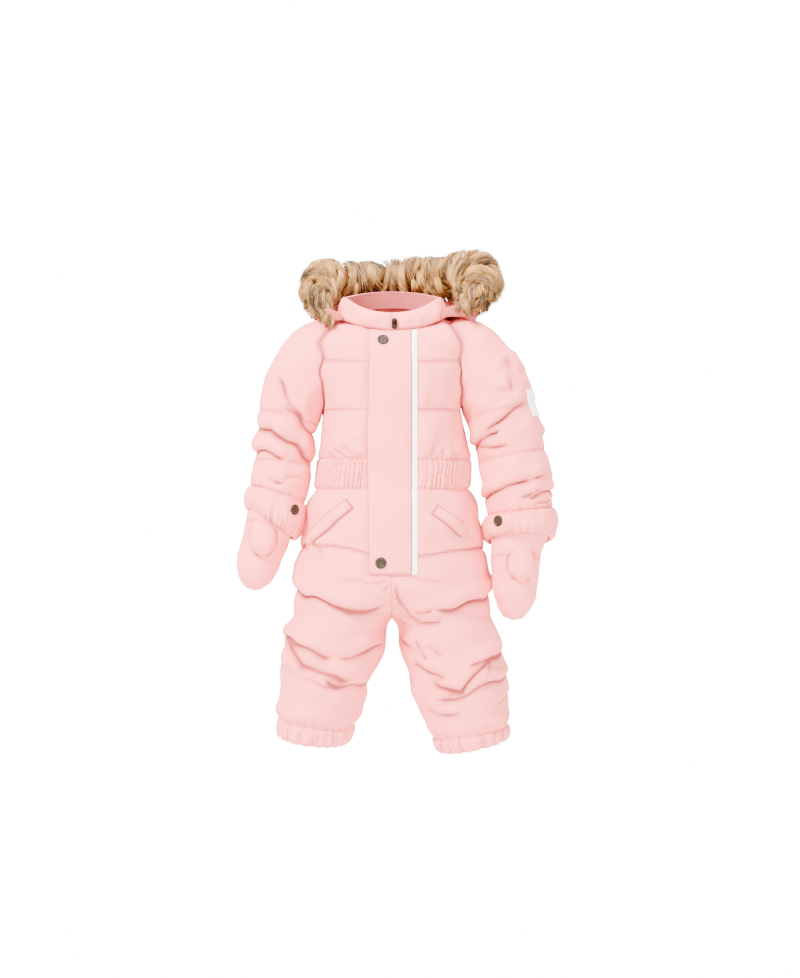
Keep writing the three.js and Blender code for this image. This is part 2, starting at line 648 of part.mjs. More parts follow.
// A point of the suit's front by its place in the front view, moved out by lift
function frontPoint(x, drop, lift) {
  if (drop <= WAIST_TOP) return torsoOuter(torsoBearing(x, drop), drop, lift);
  if (drop <= WAIST_BOTTOM) return waistOuter(torsoBearing(x, drop), drop, lift);
  const side = x < 0 ? RIGHT : LEFT;
  const ring = legRing[side](drop);
  const bearing = Math.asin(power((Math.abs(x) - ring.centre) / ring.half, 1 / LEG_ROUNDNESS));
  const base = trouserBase(side, bearing, drop);
  const rise = trouserRelief(side, bearing, drop, base) + lift;
  return base.addScaledVector(trouserNormal(side, bearing, drop), rise);
}

// Round sections along a limb: bearing 0 is its front, a quarter turn the side next to the body
function limb(table, side) {
  const section = curveThrough(table, 'along');
  return (bearing, along, lift = 0) => {
    const here = section(along);
    const before = section(along - 1);
    const after = section(along + 1);
    const direction = new THREE.Vector3(after.x - before.x, after.y - before.y, after.z - before.z)
      .normalize();
    const forward = new THREE.Vector3(0, -1, 0);
    forward.addScaledVector(direction, -forward.dot(direction)).normalize();
    const inward = direction.clone().cross(forward);
    const point = new THREE.Vector3(here.x, here.y, here.z)
      .addScaledVector(forward, (here.through + lift) * Math.cos(bearing))
      .addScaledVector(inward, (here.across + lift) * Math.sin(bearing));
    point.x *= side;
    return point;
  };
}

const sleeveForm = { [RIGHT]: limb(ARMS[RIGHT], RIGHT), [LEFT]: limb(ARMS[LEFT], LEFT) };

function sleeveRelief(side, bearing, along) {
  const lines = SLEEVE_QUILTS[side];
  const armpit = 1 - 0.6 * Math.max(Math.sin(bearing), 0);
  const quilts = padding(along, lines, lines.map(() => SLEEVE_RISE)) * armpit;
  const seam = smooth(0, 8, SLEEVE_ENDS[side] - along);
  return quilts - seam * foldDepth(sleeveForm[side](bearing, along), Math.cos(bearing));
}

function sleeveOuter(side, bearing, along, lift = 0) {
  return sleeveForm[side](bearing, along, sleeveRelief(side, bearing, along) + lift);
}

function cuffOuter(side, bearing, along) {
  const span = CUFF_ENDS[side] - SLEEVE_ENDS[side];
  const t = THREE.MathUtils.clamp((along - SLEEVE_ENDS[side]) / span, 0, 1);
  const swell = SLEEVE_CUFF_GATHERS.swell * Math.sin(Math.PI * t ** 0.8) ** 0.8;
  const wave = 0.5 + 0.5 * Math.cos(SLEEVE_CUFF_GATHERS.count * bearing);
  const gathers = SLEEVE_CUFF_GATHERS.rise * (0.25 + 0.75 * t) * wave;
  return sleeveForm[side](bearing, along, swell + gathers);
}

// Collar surface, from the neck seam at 0 to the top edge at 1
function collarSurface(bearing, t, lift) {
  const ring = torsoRing(NECK_DROP);
  const c = Math.cos(bearing);
  const low = torsoBase(bearing, NECK_DROP);
  const topDepth = c > 0 ? COLLAR_TOP.front : COLLAR_TOP.back;
  const topHeight = COLLAR_TOP.sideZ + (COLLAR_TOP.frontZ - COLLAR_TOP.sideZ) * Math.max(c, 0) ** 2
    + (COLLAR_TOP.backZ - COLLAR_TOP.sideZ) * Math.max(-c, 0) ** 2;
  const high = new THREE.Vector3(
    ring.centre + COLLAR_TOP.half * power(Math.sin(bearing), TORSO_ROUNDNESS),
    -topDepth * power(c, TORSO_ROUNDNESS),
    topHeight,
  );
  const outward = new THREE.Vector3(Math.sin(bearing), -c, 0);
  const point = low.lerp(high, t).addScaledVector(outward, lift);
  point.z += SEAM_GAP;
  return point;
}

function collarOuter(bearing, t, lift = 0) {
  const flat = smooth(0.1, 0.4, Math.abs(bearing));
  const swell = COLLAR_TOP.swell * Math.sin(Math.PI * THREE.MathUtils.clamp(t, 0, 1)) ** 0.7;
  return collarSurface(bearing, t, lift + flat * swell);
}

// Fur surface: lumpy rings round the hood's edge
const furSection = curveThrough(FUR, 'along');

function furOuter(bearing, along, lift = 0) {
  const here = furSection(along);
  const before = furSection(along - 0.05);
  const after = furSection(along + 0.05);
  const direction = new THREE.Vector3(after.x - before.x, after.y - before.y, 0).normalize();
  const sideways = new THREE.Vector3(direction.y, -direction.x, 0);
  const broad = Math.sin(FUR_LOCKS.waves * along) * Math.cos(FUR_LOCKS.crossWaves * bearing);
  const fine = Math.sin(FUR_LOCKS.fineWaves * along + FUR_LOCKS.crossWaves * bearing);
  const lumps = 1 + FUR_LOCKS.rise * (broad + 0.5 * fine);
  const fromMiddle = along / FUR_END.half - 1;
  const ends = Math.sqrt(Math.max(1 - fromMiddle ** FUR_END.sharpness, FUR_END.least));
  return new THREE.Vector3(here.x, here.y, here.z)
    .addScaledVector(sideways, (here.wide * lumps * ends + lift) * Math.sin(bearing))
    .add(new THREE.Vector3(0, 0, (here.high * lumps * ends + lift) * Math.cos(bearing)));
}

// Hood surface: a pouch from the neck seam, at 0, down behind the back and up to the fur, at 1
function hoodSurface(u, t, lift) {
  const along = THREE.MathUtils.lerp(HOOD.from, HOOD.to, u);
  const bearing = THREE.MathUtils.lerp(-HOOD.neckFront, -TURN + HOOD.neckFront, u);
  const backShare = Math.max(-Math.cos(bearing), 0);
  const mixed = ([atSide, atBack]) => THREE.MathUtils.lerp(atSide, atBack, backShare);
  const fur = furSection(along);
  const outward = new THREE.Vector3(Math.sin(bearing), -Math.cos(bearing), 0);
  const neck = collarSurface(bearing, 0.12, COLLAR_TOP.swell + HOOD_CLOTH);
  const edge = new THREE.Vector3(fur.x, fur.y, fur.z - fur.high + HOOD.tuck);
  const inner = neck.clone().addScaledVector(outward, mixed(HOOD.innerOut));
  inner.z -= mixed(HOOD.innerDown);
  const outer = edge.clone().addScaledVector(outward, mixed(HOOD.outerOut));
  outer.z -= mixed(HOOD.outerDown);
  const curve = new THREE.CubicBezierCurve3(neck, inner, outer, edge);
  const tangent = curve.getTangent(t);
  const sunk = -tangent.dot(outward);
  const normal = new THREE.Vector3(outward.x * tangent.z, outward.y * tangent.z, sunk).normalize();
  return curve.getPoint(t).addScaledVector(normal, lift);
}

// The object
const group = new THREE.Group();

function addPiece(name, geometry, finishName, parent = group) {
  const mesh = new THREE.Mesh(geometry, new THREE.MeshStandardMaterial(FINISHES[finishName]));
  mesh.name = name;
  parent.add(mesh);
  return mesh;
}

const sideName = (side) => (side === RIGHT ? 'right' : 'left');

// Angles of the torso's columns, the same on every ring
const TORSO_COLUMNS = 13;
const seamTurn = SEAM_GAP / 2 / TORSO_RADIUS;
const torsoDrops = [8, 12, 17, 24, 34, 44, 50, 57, 68, 81, 95, 106, 112, 119, 131, 146, 161, 171, 177];
const torsoBearings = {
  [LEFT]: spread(seamTurn, QUARTER - seamTurn, TORSO_COLUMNS),
  [RIGHT]: spread(-QUARTER + seamTurn, -seamTurn, TORSO_COLUMNS),
  back: spread(QUARTER + seamTurn, 3 * QUARTER - seamTurn, 2 * (TORSO_COLUMNS - 3)),
};
const torsoTurns = [
  ...torsoBearings[LEFT].slice(0, -1),
  ...torsoBearings.back.slice(0, -1),
  ...torsoBearings[RIGHT].map((bearing) => bearing + TURN).slice(0, -1),
];

const sleeveAlongs = {
  [RIGHT]: [20, 32, 45, 58, 68, 80, 94, 110, 122, 132, 144, 156, 170, 182, 192, 206, 222],
  [LEFT]: [20, 32, 47, 62, 74, 88, 104, 118, 130, 142, 154, 166, 178, 192, 210, 230, 250],
};
const SLEEVE_COLUMNS = 18;
const sleeveTurns = around(SLEEVE_COLUMNS);

const torsoBody = toSolid(filled((u, drop) => torsoOuter(u, drop, SEAM_GAP), torsoTurns, torsoDrops));
const sleeveBody = {};
const sleeveWall = {};
for (const side of [RIGHT, LEFT]) {
  const alongs = sleeveAlongs[side];
  const bodySurface = (u, along) => sleeveOuter(side, TURN * u, along, SEAM_GAP);
  sleeveBody[side] = toSolid(filled(bodySurface, sleeveTurns, alongs));
  sleeveWall[side] = wall({
    outer: (u, along) => sleeveOuter(side, TURN * u, along),
    inner: (u, along) => sleeveForm[side](TURN * u, along, -CLOTH),
    us: sleeveTurns,
    vs: alongs,
    wraps: true,
  });
}

function addTorso() {
  for (const place of [RIGHT, LEFT, 'back']) {
    const panel = wall({ outer: torsoOuter, inner: torsoInner, us: torsoBearings[place], vs: torsoDrops });
    const name = place === 'back' ? 'back_upper' : `chest_front_${sideName(place)}`;
    const arms = place === 'back' ? [sleeveBody[RIGHT], sleeveBody[LEFT]] : [sleeveBody[place]];
    addPiece(name, trimmed(panel, arms), 'cloth');
  }
}

function addWaistband() {
  const drops = spread(WAIST_TOP + SEAM_GAP, WAIST_BOTTOM - SEAM_GAP, 3);
  const perQuarter = WAIST_GATHERS.count / 2;
  const ranges = {
    waistband_front_left: spread(seamTurn, QUARTER - seamTurn, perQuarter),
    waistband_front_right: spread(-QUARTER + seamTurn, -seamTurn, perQuarter),
    waistband_back: spread(QUARTER + seamTurn, 3 * QUARTER - seamTurn, 2 * perQuarter),
  };
  for (const [name, bearings] of Object.entries(ranges)) {
    addPiece(name, wall({ outer: waistOuter, inner: torsoInner, us: bearings, vs: drops }), 'band');
  }
}

function trouserDrops(side) {
  const top = WAIST_BOTTOM + SEAM_GAP / 2;
  const end = LEG_CUFF_DROPS[side][0] - SEAM_GAP / 2;
  const hips = [top, 223, 233, 247, 262, 278, 294, 310, 325, 338, 349, 358, 366, 373, 379, CROTCH_DROP];
  const knees = [394, 405, 416, 426, 436, 446, 456, 466, 477, 488, 500, 512];
  return [...hips, ...knees, end];
}

function isInnerDrop(drop, i) {
  const nearCrotch = drop >= CROTCH_DROP - CROTCH_REACH && drop <= CROTCH_DROP;
  return nearCrotch || i % 2 === 0;
}

function addTrousers() {
  const columns = spread(0, 1, 9);
  for (const side of [RIGHT, LEFT]) {
    const drops = trouserDrops(side);
    const sideSeam = (drop) => QUARTER - inseamTurn(legRing[side](drop));
    const frontTurn = (u, drop, inset) => {
      const inner = innerBearing(side, drop, inset);
      return THREE.MathUtils.lerp(inner, sideSeam(drop), u);
    };
    const backTurn = (u, drop, inset) => Math.PI - frontTurn(u, drop, inset);
    for (const [place, turn] of [['front', frontTurn], ['back', backTurn]]) {
      addPiece(`trouser_${place}_${sideName(side)}`, wall({
        outer: (u, drop) => trouserOuter(side, turn(u, drop, 0), drop),
        inner: (u, drop) => trouserInner(side, turn(u, drop, CLOTH), drop),
        us: columns,
        vs: drops,
        innerVs: drops.filter((drop, i) => isInnerDrop(drop, i) || i === drops.length - 1),
      }), 'cloth');
    }
  }
}

function addLegCuffs() {
  for (const side of [RIGHT, LEFT]) {
    const [top, hem] = LEG_CUFF_DROPS[side];
    addPiece(`leg_cuff_${sideName(side)}`, wall({
      outer: (u, drop) => {
        const bearing = TURN * u;
        const t = (drop - top) / (hem - top);
        const wave = 0.5 + 0.5 * Math.cos(LEG_CUFF_GATHERS.count * bearing);
        const gathers = LEG_CUFF_GATHERS.rise * (0.3 + 0.7 * t) * wave;
        const rise = LEG_CUFF_GATHERS.swell * Math.sin(Math.PI * t) + gathers;
        return trouserBase(side, bearing, drop).addScaledVector(trouserNormal(side, bearing, drop), rise);
      },
      inner: (u, drop) => trouserBase(side, TURN * u, drop)
        .addScaledVector(trouserNormal(side, TURN * u, drop), -CLOTH),
      us: around(2 * LEG_CUFF_GATHERS.count),
      vs: spread(top + SEAM_GAP / 2, hem, 3),
      wraps: true,
    }), 'band');
  }
}

function addSleeves() {
  for (const side of [RIGHT, LEFT]) {
    addPiece(`sleeve_${sideName(side)}`, trimmed(sleeveWall[side], [torsoBody]), 'cloth');
  }
}

function addSleeveCuffs() {
  for (const side of [RIGHT, LEFT]) {
    addPiece(`sleeve_cuff_${sideName(side)}`, wall({
      outer: (u, along) => cuffOuter(side, TURN * u, along),
      inner: (u, along) => sleeveForm[side](TURN * u, along, -CLOTH),
      us: around(2 * SLEEVE_CUFF_GATHERS.count),
      vs: spread(SLEEVE_ENDS[side] + SEAM_GAP, CUFF_ENDS[side], 3),
      wraps: true,
    }), 'band');
  }
}

function addMittens() {
  const columns = around(16);
  const thumbColumns = around(12);
  const mirrored = (point, side, shift) => new THREE.Vector3(side * point.x, point.y, point.z + shift);
  for (const side of [RIGHT, LEFT]) {
    const hand = limb(MITTENS[side], side);
    const thumb = limb(THUMBS[side], side);
    const handWall = wall({
      outer: (u, along) => hand(TURN * u, along),
      inner: (u, along) => hand(TURN * u, along, -CLOTH),
      us: columns,
      vs: MITTEN_RINGS[side],
      wraps: true,
      outerTip: mirrored(MITTEN_TIPS[side], side, 0),
      innerTip: mirrored(MITTEN_TIPS[side], side, CLOTH),
    });
    const thumbWall = wall({
      outer: (u, along) => thumb(TURN * u, along),
      inner: (u, along) => thumb(TURN * u, along, -THUMB_CLOTH),
      us: thumbColumns,
      vs: THUMB_RINGS,
      wraps: true,
      outerTip: mirrored(THUMB_TIPS[side], side, 0),
      innerTip: mirrored(THUMB_TIPS[side], side, CLOTH),
    });
    const handForm = filled((u, along) => hand(TURN * u, along, SEAM_GAP), columns, MITTEN_RINGS[side]);
    const thumbForm = filled((u, along) => thumb(TURN * u, along, SEAM_GAP), thumbColumns, THUMB_RINGS);
    const handBody = toSolid(handForm);
    const thumbBody = toSolid(thumbForm);
    addPiece(`mitten_${sideName(side)}`, trimmed(handWall, [thumbBody]), 'cloth');
    addPiece(`thumb_${sideName(side)}`, trimmed(thumbWall, [handBody]), 'cloth');
  }
}

// The collar filled up, from a little below its seam
const COLLAR_RINGS = [0, 0.25, 0.5, 0.75, 1];
const collarBody = toSolid(filled(
  (u, t) => collarOuter(TURN * u, t, SEAM_GAP),
  around(48),
  [-0.2, ...COLLAR_RINGS],
));

function addCollar() {
  const turn = SEAM_GAP / 2 / COLLAR_RADIUS;
  const ranges = {
    collar_front_left: spread(turn, QUARTER - turn, 12),
    collar_front_right: spread(-QUARTER + turn, -turn, 12),
    collar_back: spread(QUARTER + turn, 3 * QUARTER - turn, 24),
  };
  for (const [name, bearings] of Object.entries(ranges)) {
    addPiece(name, wall({
      outer: collarOuter,
      inner: (bearing, t) => collarSurface(bearing, t, -COLLAR_CLOTH),
      us: bearings,
      vs: COLLAR_RINGS,
    }), 'cloth');
  }
}

function addHood() {
  const furAlongs = spread(0, 10, 38);
  const furColumns = around(10);
  const furSolid = filled((u, along) => furOuter(TURN * u, along), furColumns, furAlongs);
  const furRoom = toSolid(filled((u, along) => furOuter(TURN * u, along, SEAM_GAP), furColumns, furAlongs));
  const carriers = [torsoBody, sleeveBody[RIGHT], sleeveBody[LEFT], collarBody];
  const hoodWall = wall({
    outer: (u, t) => hoodSurface(u, t, 0),
    inner: (u, t) => hoodSurface(u, t, -HOOD_CLOTH),
    us: spread(0, 1, 20),
    vs: spread(0, 1, 7),
  });
  addPiece('fur_trim', trimmed(furSolid, carriers), 'fur');
  addPiece('hood_shell', trimmed(hoodWall, [...carriers, furRoom]), 'hood');
}

function frontStrip(left, right, lift, cloth, columns) {
  const drops = [
    PLACKET.top, 17, 24, 34, 44, 57, 68, 81, 95, 112, 131, 146, 161, 177, 190, 203, 215,
    223, 233, 247, 262, 278, 294, 310, PLACKET.bottom,
  ];
  return wall({
    outer: (x, drop) => frontPoint(x, drop, lift + cloth),
    inner: (x, drop) => frontPoint(x, drop, lift),
    us: spread(left, right, columns),
    vs: drops,
  });
}

function addPlacket() {
  addPiece('placket', frontStrip(PLACKET.left, PLACKET.right, PLACKET.lift, PLACKET.cloth, 6), 'cloth');
  const stripe = frontStrip(STRIPE.left, STRIPE.right, STRIPE.lift, STRIPE.cloth, 2);
  addPiece('reflective_stripe', stripe, 'stripe');
}

function addWelts() {
  for (const side of [RIGHT, LEFT]) {
    const line = WELTS[side];
    const length = Math.hypot(line.x1 - line.x0, line.z1 - line.z0);
    const across = new THREE.Vector2(-(line.z1 - line.z0), line.x1 - line.x0).divideScalar(length);
    const at = (u, v, lift) => {
      const x = THREE.MathUtils.lerp(line.x0, line.x1, u) + across.x * v * WELT.width;
      const z = THREE.MathUtils.lerp(line.z0, line.z1, u) + across.y * v * WELT.width;
      return frontPoint(x, -z, lift);
    };
    addPiece(`pocket_welt_${sideName(side)}`, wall({
      outer: (u, v) => at(u, v, WELT.lift + WELT.rise * (0.45 + 0.55 * Math.cos(Math.PI * v))),
      inner: (u, v) => at(u, v, WELT.lift),
      us: spread(0, 1, 8),
      vs: spread(-0.5, 0.5, 4),
    }), 'cloth');
  }
}

function addLabel() {
  const from = THREE.MathUtils.degToRad(LABEL.outer);
  const to = THREE.MathUtils.degToRad(LABEL.forward);
  addPiece('sleeve_label', wall({
    outer: (bearing, along) => sleeveOuter(LEFT, bearing, along, LABEL.lift + LABEL.cloth),
    inner: (bearing, along) => sleeveOuter(LEFT, bearing, along, LABEL.lift),
    us: spread(from, to, 2),
    vs: spread(LABEL.from, LABEL.to, 4),
  }), 'label');
}

function snapGeometry() {
  const { radius, height, rim } = SNAP;
  const profile = [
    [0, 0], [radius, 0], [radius, rim], [radius - 1.6, height], [radius - 3.2, height - 0.5], [0, height],
  ].map(([x, y]) => new THREE.Vector2(x, y));
  return new THREE.LatheGeometry(profile, 16);
}

function placeSnap(name, point, normal, lift) {
  const mesh = addPiece(name, snapGeometry(), 'snap');
  mesh.position.copy(point).addScaledVector(normal, lift);
  mesh.quaternion.setFromUnitVectors(new THREE.Vector3(0, 1, 0), normal);
}

function addSnaps() {
  const cover = PLACKET.lift + PLACKET.cloth;
  for (const snap of BODY_SNAPS) {
    const surface = (x, drop) => frontPoint(x, drop, cover);
    const normal = normalOf(surface, snap.x, snap.drop, 3, 3);
    if (normal.y > 0) normal.negate();
    placeSnap(snap.name, surface(snap.x, snap.drop), normal, SNAP.bodyLift);
  }
  for (const side of [RIGHT, LEFT]) {
    const snap = CUFF_SNAPS[side];
    const surface = (bearing, along) => cuffOuter(side, bearing, along);
    const bearing = THREE.MathUtils.degToRad(snap.bearing);
    const normal = normalOf((b, a) => sleeveForm[side](b, a), bearing, snap.along, 0.1, 3);
    if (normal.y > 0) normal.negate();
    placeSnap(snap.name, surface(bearing, snap.along), normal, SNAP.cuffLift);
  }
}

function addZip() {
  const lean = THREE.MathUtils.degToRad(ZIP.lean);
  const holder = new THREE.Group();
  const seatHeight = (ZIP.height + NECK_DROP) / (COLLAR_TOP.frontZ + NECK_DROP);
  const seat = collarOuter(ZIP.x / COLLAR_TOP.half, seatHeight);
  const outward = new THREE.Vector3(0, -Math.cos(lean), Math.sin(lean));
  holder.position.set(ZIP.x, seat.y, ZIP.height).addScaledVector(outward, ZIP.standOff);
  group.add(holder);

  const body = new THREE.Shape();
  const half = ZIP.bodyWidth / 2;
  const low = -ZIP.bodyHigh / 2;
  body.moveTo(-half * 0.7, low);
  body.lineTo(half * 0.7, low);
  body.lineTo(half, low + ZIP.bodyHigh * 0.6);
  body.quadraticCurveTo(half * 0.8, -low, 0, -low);
  body.quadraticCurveTo(-half * 0.8, -low, -half, low + ZIP.bodyHigh * 0.6);
  const bodyExtrude = { depth: ZIP.bodyThick, bevelEnabled: false, curveSegments: 6 };
  const bodySolid = new THREE.ExtrudeGeometry(body, bodyExtrude);
  bodySolid.rotateX(QUARTER);
  bodySolid.translate(0, ZIP.standOff - 0.4, 0);
  const ring = new THREE.Shape().absarc(0, 0, EYE.outer, 0, TURN);
  ring.holes.push(new THREE.Path().absarc(0, 0, EYE.inner, 0, TURN, true));
  const eye = new THREE.ExtrudeGeometry(ring, { depth: EYE.width, bevelEnabled: false, curveSegments: 10 });
  eye.translate(0, 0, -EYE.width / 2);
  eye.rotateY(QUARTER);
  const slider = addPiece('zip_slider', toGeometry(toSolid(bodySolid).add(toSolid(eye))), 'zip', holder);
  slider.rotation.x = -lean;

  const tab = new THREE.Shape();
  const tabHalf = TAB.width / 2;
  tab.moveTo(-tabHalf * 0.8, TAB.bar);
  tab.lineTo(tabHalf * 0.8, TAB.bar);
  tab.lineTo(tabHalf, TAB.bar - TAB.length * 0.75);
  tab.quadraticCurveTo(tabHalf * 0.7, TAB.bar - TAB.length, 0, TAB.bar - TAB.length);
  tab.quadraticCurveTo(-tabHalf * 0.7, TAB.bar - TAB.length, -tabHalf, TAB.bar - TAB.length * 0.75);
  const opening = new THREE.Path();
  opening.moveTo(-TAB.windowWidth / 2, -TAB.bar);
  opening.lineTo(-TAB.windowWidth / 2, -TAB.bar - TAB.windowLength);
  opening.lineTo(TAB.windowWidth / 2, -TAB.bar - TAB.windowLength);
  opening.lineTo(TAB.windowWidth / 2, -TAB.bar);
  tab.holes.push(opening);
  const plate = new THREE.ExtrudeGeometry(tab, { depth: TAB.thick, bevelEnabled: false, curveSegments: 6 });
  plate.translate(0, 0, -TAB.thick / 2);
  plate.rotateX(QUARTER);
  addPiece('zip_pull_tab', toGeometry(toSolid(plate)), 'zip', holder);
}

addTorso();
addWaistband();
addTrousers();
addLegCuffs();
addSleeves();
addSleeveCuffs();
addMittens();
addCollar();
addHood();
addPlacket();
addWelts();
addLabel();
addSnaps();
addZip();

export default group;
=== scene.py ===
"""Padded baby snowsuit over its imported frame: cloth panels, fur trim, snaps, zip slider and studio."""

import math

import bmesh
import bpy
import numpy as np
from mathutils import Matrix, Vector
from mathutils.bvhtree import BVHTree


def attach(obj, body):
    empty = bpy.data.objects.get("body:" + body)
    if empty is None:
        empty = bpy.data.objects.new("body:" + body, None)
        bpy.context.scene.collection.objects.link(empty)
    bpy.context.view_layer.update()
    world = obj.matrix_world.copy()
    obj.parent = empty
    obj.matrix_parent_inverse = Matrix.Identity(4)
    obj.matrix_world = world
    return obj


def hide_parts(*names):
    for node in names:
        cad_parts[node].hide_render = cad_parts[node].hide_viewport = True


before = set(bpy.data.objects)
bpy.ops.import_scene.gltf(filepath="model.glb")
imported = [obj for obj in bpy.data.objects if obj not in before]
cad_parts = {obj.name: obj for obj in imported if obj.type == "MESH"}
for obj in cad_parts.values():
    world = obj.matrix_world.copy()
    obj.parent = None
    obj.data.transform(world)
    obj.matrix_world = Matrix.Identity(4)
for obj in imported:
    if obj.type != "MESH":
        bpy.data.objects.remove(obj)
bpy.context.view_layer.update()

bl_info = {
    "name": "Baby snowsuit",
    "version": (1, 0, 0),
    "blender": (4, 5, 0),
    "location": "View3D > Sidebar > Snowsuit",
    "description": "Builds the cloth, fur and fasteners of a padded baby snowsuit over its frame",
    "category": "Add Mesh",
}

# Surface tables and distances are in millimetres, and meshes are made in metres
MM = 0.001
TURN = 2 * math.pi
QUARTER = math.pi / 2
RIGHT = -1
LEFT = 1
SIDES = (RIGHT, LEFT)
SIDE_NAMES = {RIGHT: "right", LEFT: "left"}

# Form of the suit: the tables of its frame, with fuller thumbs, cuffs and mitten tips
SEAM_GAP = 0.3
SEAM_TUCK = 4.0
COLLAR_CLOTH = 4.0
HOOD_CLOTH = 3.0
# Mean radii that turn bearings into lengths, sizes of flat patterns, and half gaps of middle seams in radians
CHEST_RADIUS = 92
WAIST_RADIUS = 96
TROUSER_WIDTH = 175
LEG_CUFF_HEIGHT = 24
COLLAR_FRONT = 95
COLLAR_HEIGHT = 28
HOOD_WIDTH = 430
HOOD_LENGTH = 170
LABEL_SIZE = (20, 33)
THUMB_END = 35
PANEL_GAP = 0.0016
COLLAR_GAP = 0.0025
TORSO_ROUNDNESS = 0.88
LEG_ROUNDNESS = 0.94
NECK_DROP = 8.0
WAIST_TOP = 177.0
WAIST_BOTTOM = 215.0
LEVEL_FROM = 112.0
CROTCH_DROP = 384.0
QUILT_DROPS = (8, 17, 50, 112, 177)
QUILT_RISES = (1, 3.2, 5, 6)

# Torso rings: drop, side height, back height, centre, half width, front depth, back depth
TORSO = (
    (8, 8, 24, 0, 70, 56, 60), (17, -2, 12, 0, 94, 65, 70), (30, -20, -8, 0, 109, 73, 78),
    (50, -46, -40, 0, 110, 79, 83), (80, -79, -77, 0, 99, 81, 85), (112, -112, -112, 0, 92, 81, 84),
    (145, -145, -145, 2, 92, 82, 84), (177, -177, -177, 3, 99, 80, 81), (196, -196, -196, 2, 98, 79, 80),
    (215, -215, -215, 0, 101, 81, 82),
)
# Trouser rings of one side: drop, centre, half width, front depth, back depth, shift to the back
HIPS = (
    (215, 0, 101, 81, 82, 0), (232, 0, 109, 88, 90, 0), (260, 0, 114, 92, 98, 0), (290, 0, 119, 92, 103, 0),
    (325, 8, 116, 91, 103, 0), (350, 29, 98, 88, 98, 0), (368, 48, 79.5, 84, 92, 0),
    (378, 59, 69.5, 81, 87, 0), (384, 65, 65, 79, 84, 0),
)
LEGS = {
    RIGHT: HIPS + (
        (403, 74, 67, 76, 79, 0), (424, 76, 67.5, 72, 73, 0), (445, 82, 65, 68, 70, 0),
        (466, 89, 59.5, 66, 67, 0), (487, 91, 57.5, 62, 65, 1), (508, 95, 54, 58, 61, 2),
        (524, 99, 50, 53, 56, 3), (547, 103.5, 46, 48, 51, 4),
    ),
    LEFT: HIPS + (
        (403, 74, 66, 76, 79, 0), (424, 77, 67.5, 73, 73, 0), (445, 83, 67, 70, 70, 0),
        (466, 88.5, 65, 68, 67, 0), (487, 91, 62, 65, 65, -1), (508, 95, 58, 61, 61, -2),
        (537, 102, 50, 53, 54, -3), (555, 105, 45, 48, 49, -4),
    ),
}
# Sleeve sections: along, distance from the middle, y, z, half across, half through
ARMS = {
    RIGHT: (
        (0, 58, 0, -42, 46, 48), (32, 90, 0, -43, 50, 51), (48, 104, -1, -53, 49, 50),
        (66, 115, -2, -68, 46, 48), (96, 128, -4, -97, 41, 45), (128, 138.5, -7, -128, 37, 42),
        (160, 141, -10, -160, 36, 41), (195, 145, -14, -196, 36.5, 40), (222, 150, -17, -223, 36, 38),
        (260, 160, -20, -260, 36, 37),
    ),
    LEFT: (
        (0, 60, 0, -42, 46, 48), (32, 94, 0, -43, 52, 51), (52, 111, -1, -55, 50, 51),
        (72, 124, -2, -70, 48, 50), (102, 138, -4, -99, 46.5, 48), (136, 148, -7, -132, 44, 46),
        (171, 157, -10, -166, 43.5, 45), (206, 163, -13, -201, 44, 44), (250, 168, -16, -246, 42, 42),
        (282, 168, -18, -278, 42, 41),
    ),
}
SLEEVE_ENDS = {RIGHT: 222, LEFT: 250}
CUFF_ENDS = {RIGHT: 258, LEFT: 282}
SLEEVE_TILTS = {RIGHT: 4, LEFT: 3}
CUFF_TILTS = {RIGHT: 12, LEFT: 1}
CUFF_BOWS = {RIGHT: 2, LEFT: 8}
SLEEVE_QUILTS = {RIGHT: (58, 122, 182, 222), LEFT: (62, 118, 178, 250)}
LEG_SEAMS = {RIGHT: 522, LEFT: 535}
LEG_HEMS = {RIGHT: 545, LEFT: 553}
LEG_BOWS = {RIGHT: 9, LEFT: 6}
LEG_TILTS = {RIGHT: -5, LEFT: -9}

MITTENS = {
    RIGHT: (
        (-16, 153.5, -18.5, -236, 31, 32.5), (0, 157.5, -20, -251, 32.4, 33.2),
        (14, 161, -21, -264, 32.8, 32.5), (30, 166, -23, -281, 32, 30), (46, 171.5, -24, -297, 30, 28),
        (67, 177, -26, -318, 28, 25), (79, 179, -27, -329, 25, 22), (89, 180.5, -27, -339, 19, 17),
        (98, 181, -27.5, -347, 10, 9),
    ),
    LEFT: (
        (-16, 168, -16.5, -254, 36, 36), (0, 168, -17.5, -270, 38, 37), (14, 166, -19, -283, 37, 35),
        (31, 163.5, -22, -298, 34.5, 31), (52, 162.5, -24, -318, 32.5, 29), (73, 162, -26, -339, 31, 27),
        (95, 161.5, -27, -361, 27.5, 23), (107, 160, -28, -373, 22, 18), (119, 158.5, -28, -385, 13, 10),
    ),
}
MITTEN_TIPS = {RIGHT: (181, -28, -349.6), LEFT: (158, -28, -388.5)}
MITTEN_SEAMS = {RIGHT: 20, LEFT: 44}
THUMBS = {
    RIGHT: (
        (0, 168, -43, -266, 15, 11), (13, 168.5, -50, -277, 16, 11), (25, 169, -54, -289, 15, 11),
        (35, 169, -55, -299, 10, 8),
    ),
    LEFT: (
        (0, 169, -43, -299, 15, 11), (13, 169, -50, -310, 16.5, 11), (25, 169.5, -54, -322, 15.5, 11),
        (35, 170, -55, -332, 10, 8),
    ),
}
THUMB_TIPS = {RIGHT: (169, -56, -305), LEFT: (170, -56, -338)}

COLLAR_TOP = {"front": 15, "side": 37, "back": 46, "half": 65, "front_depth": 50, "back_depth": 51}
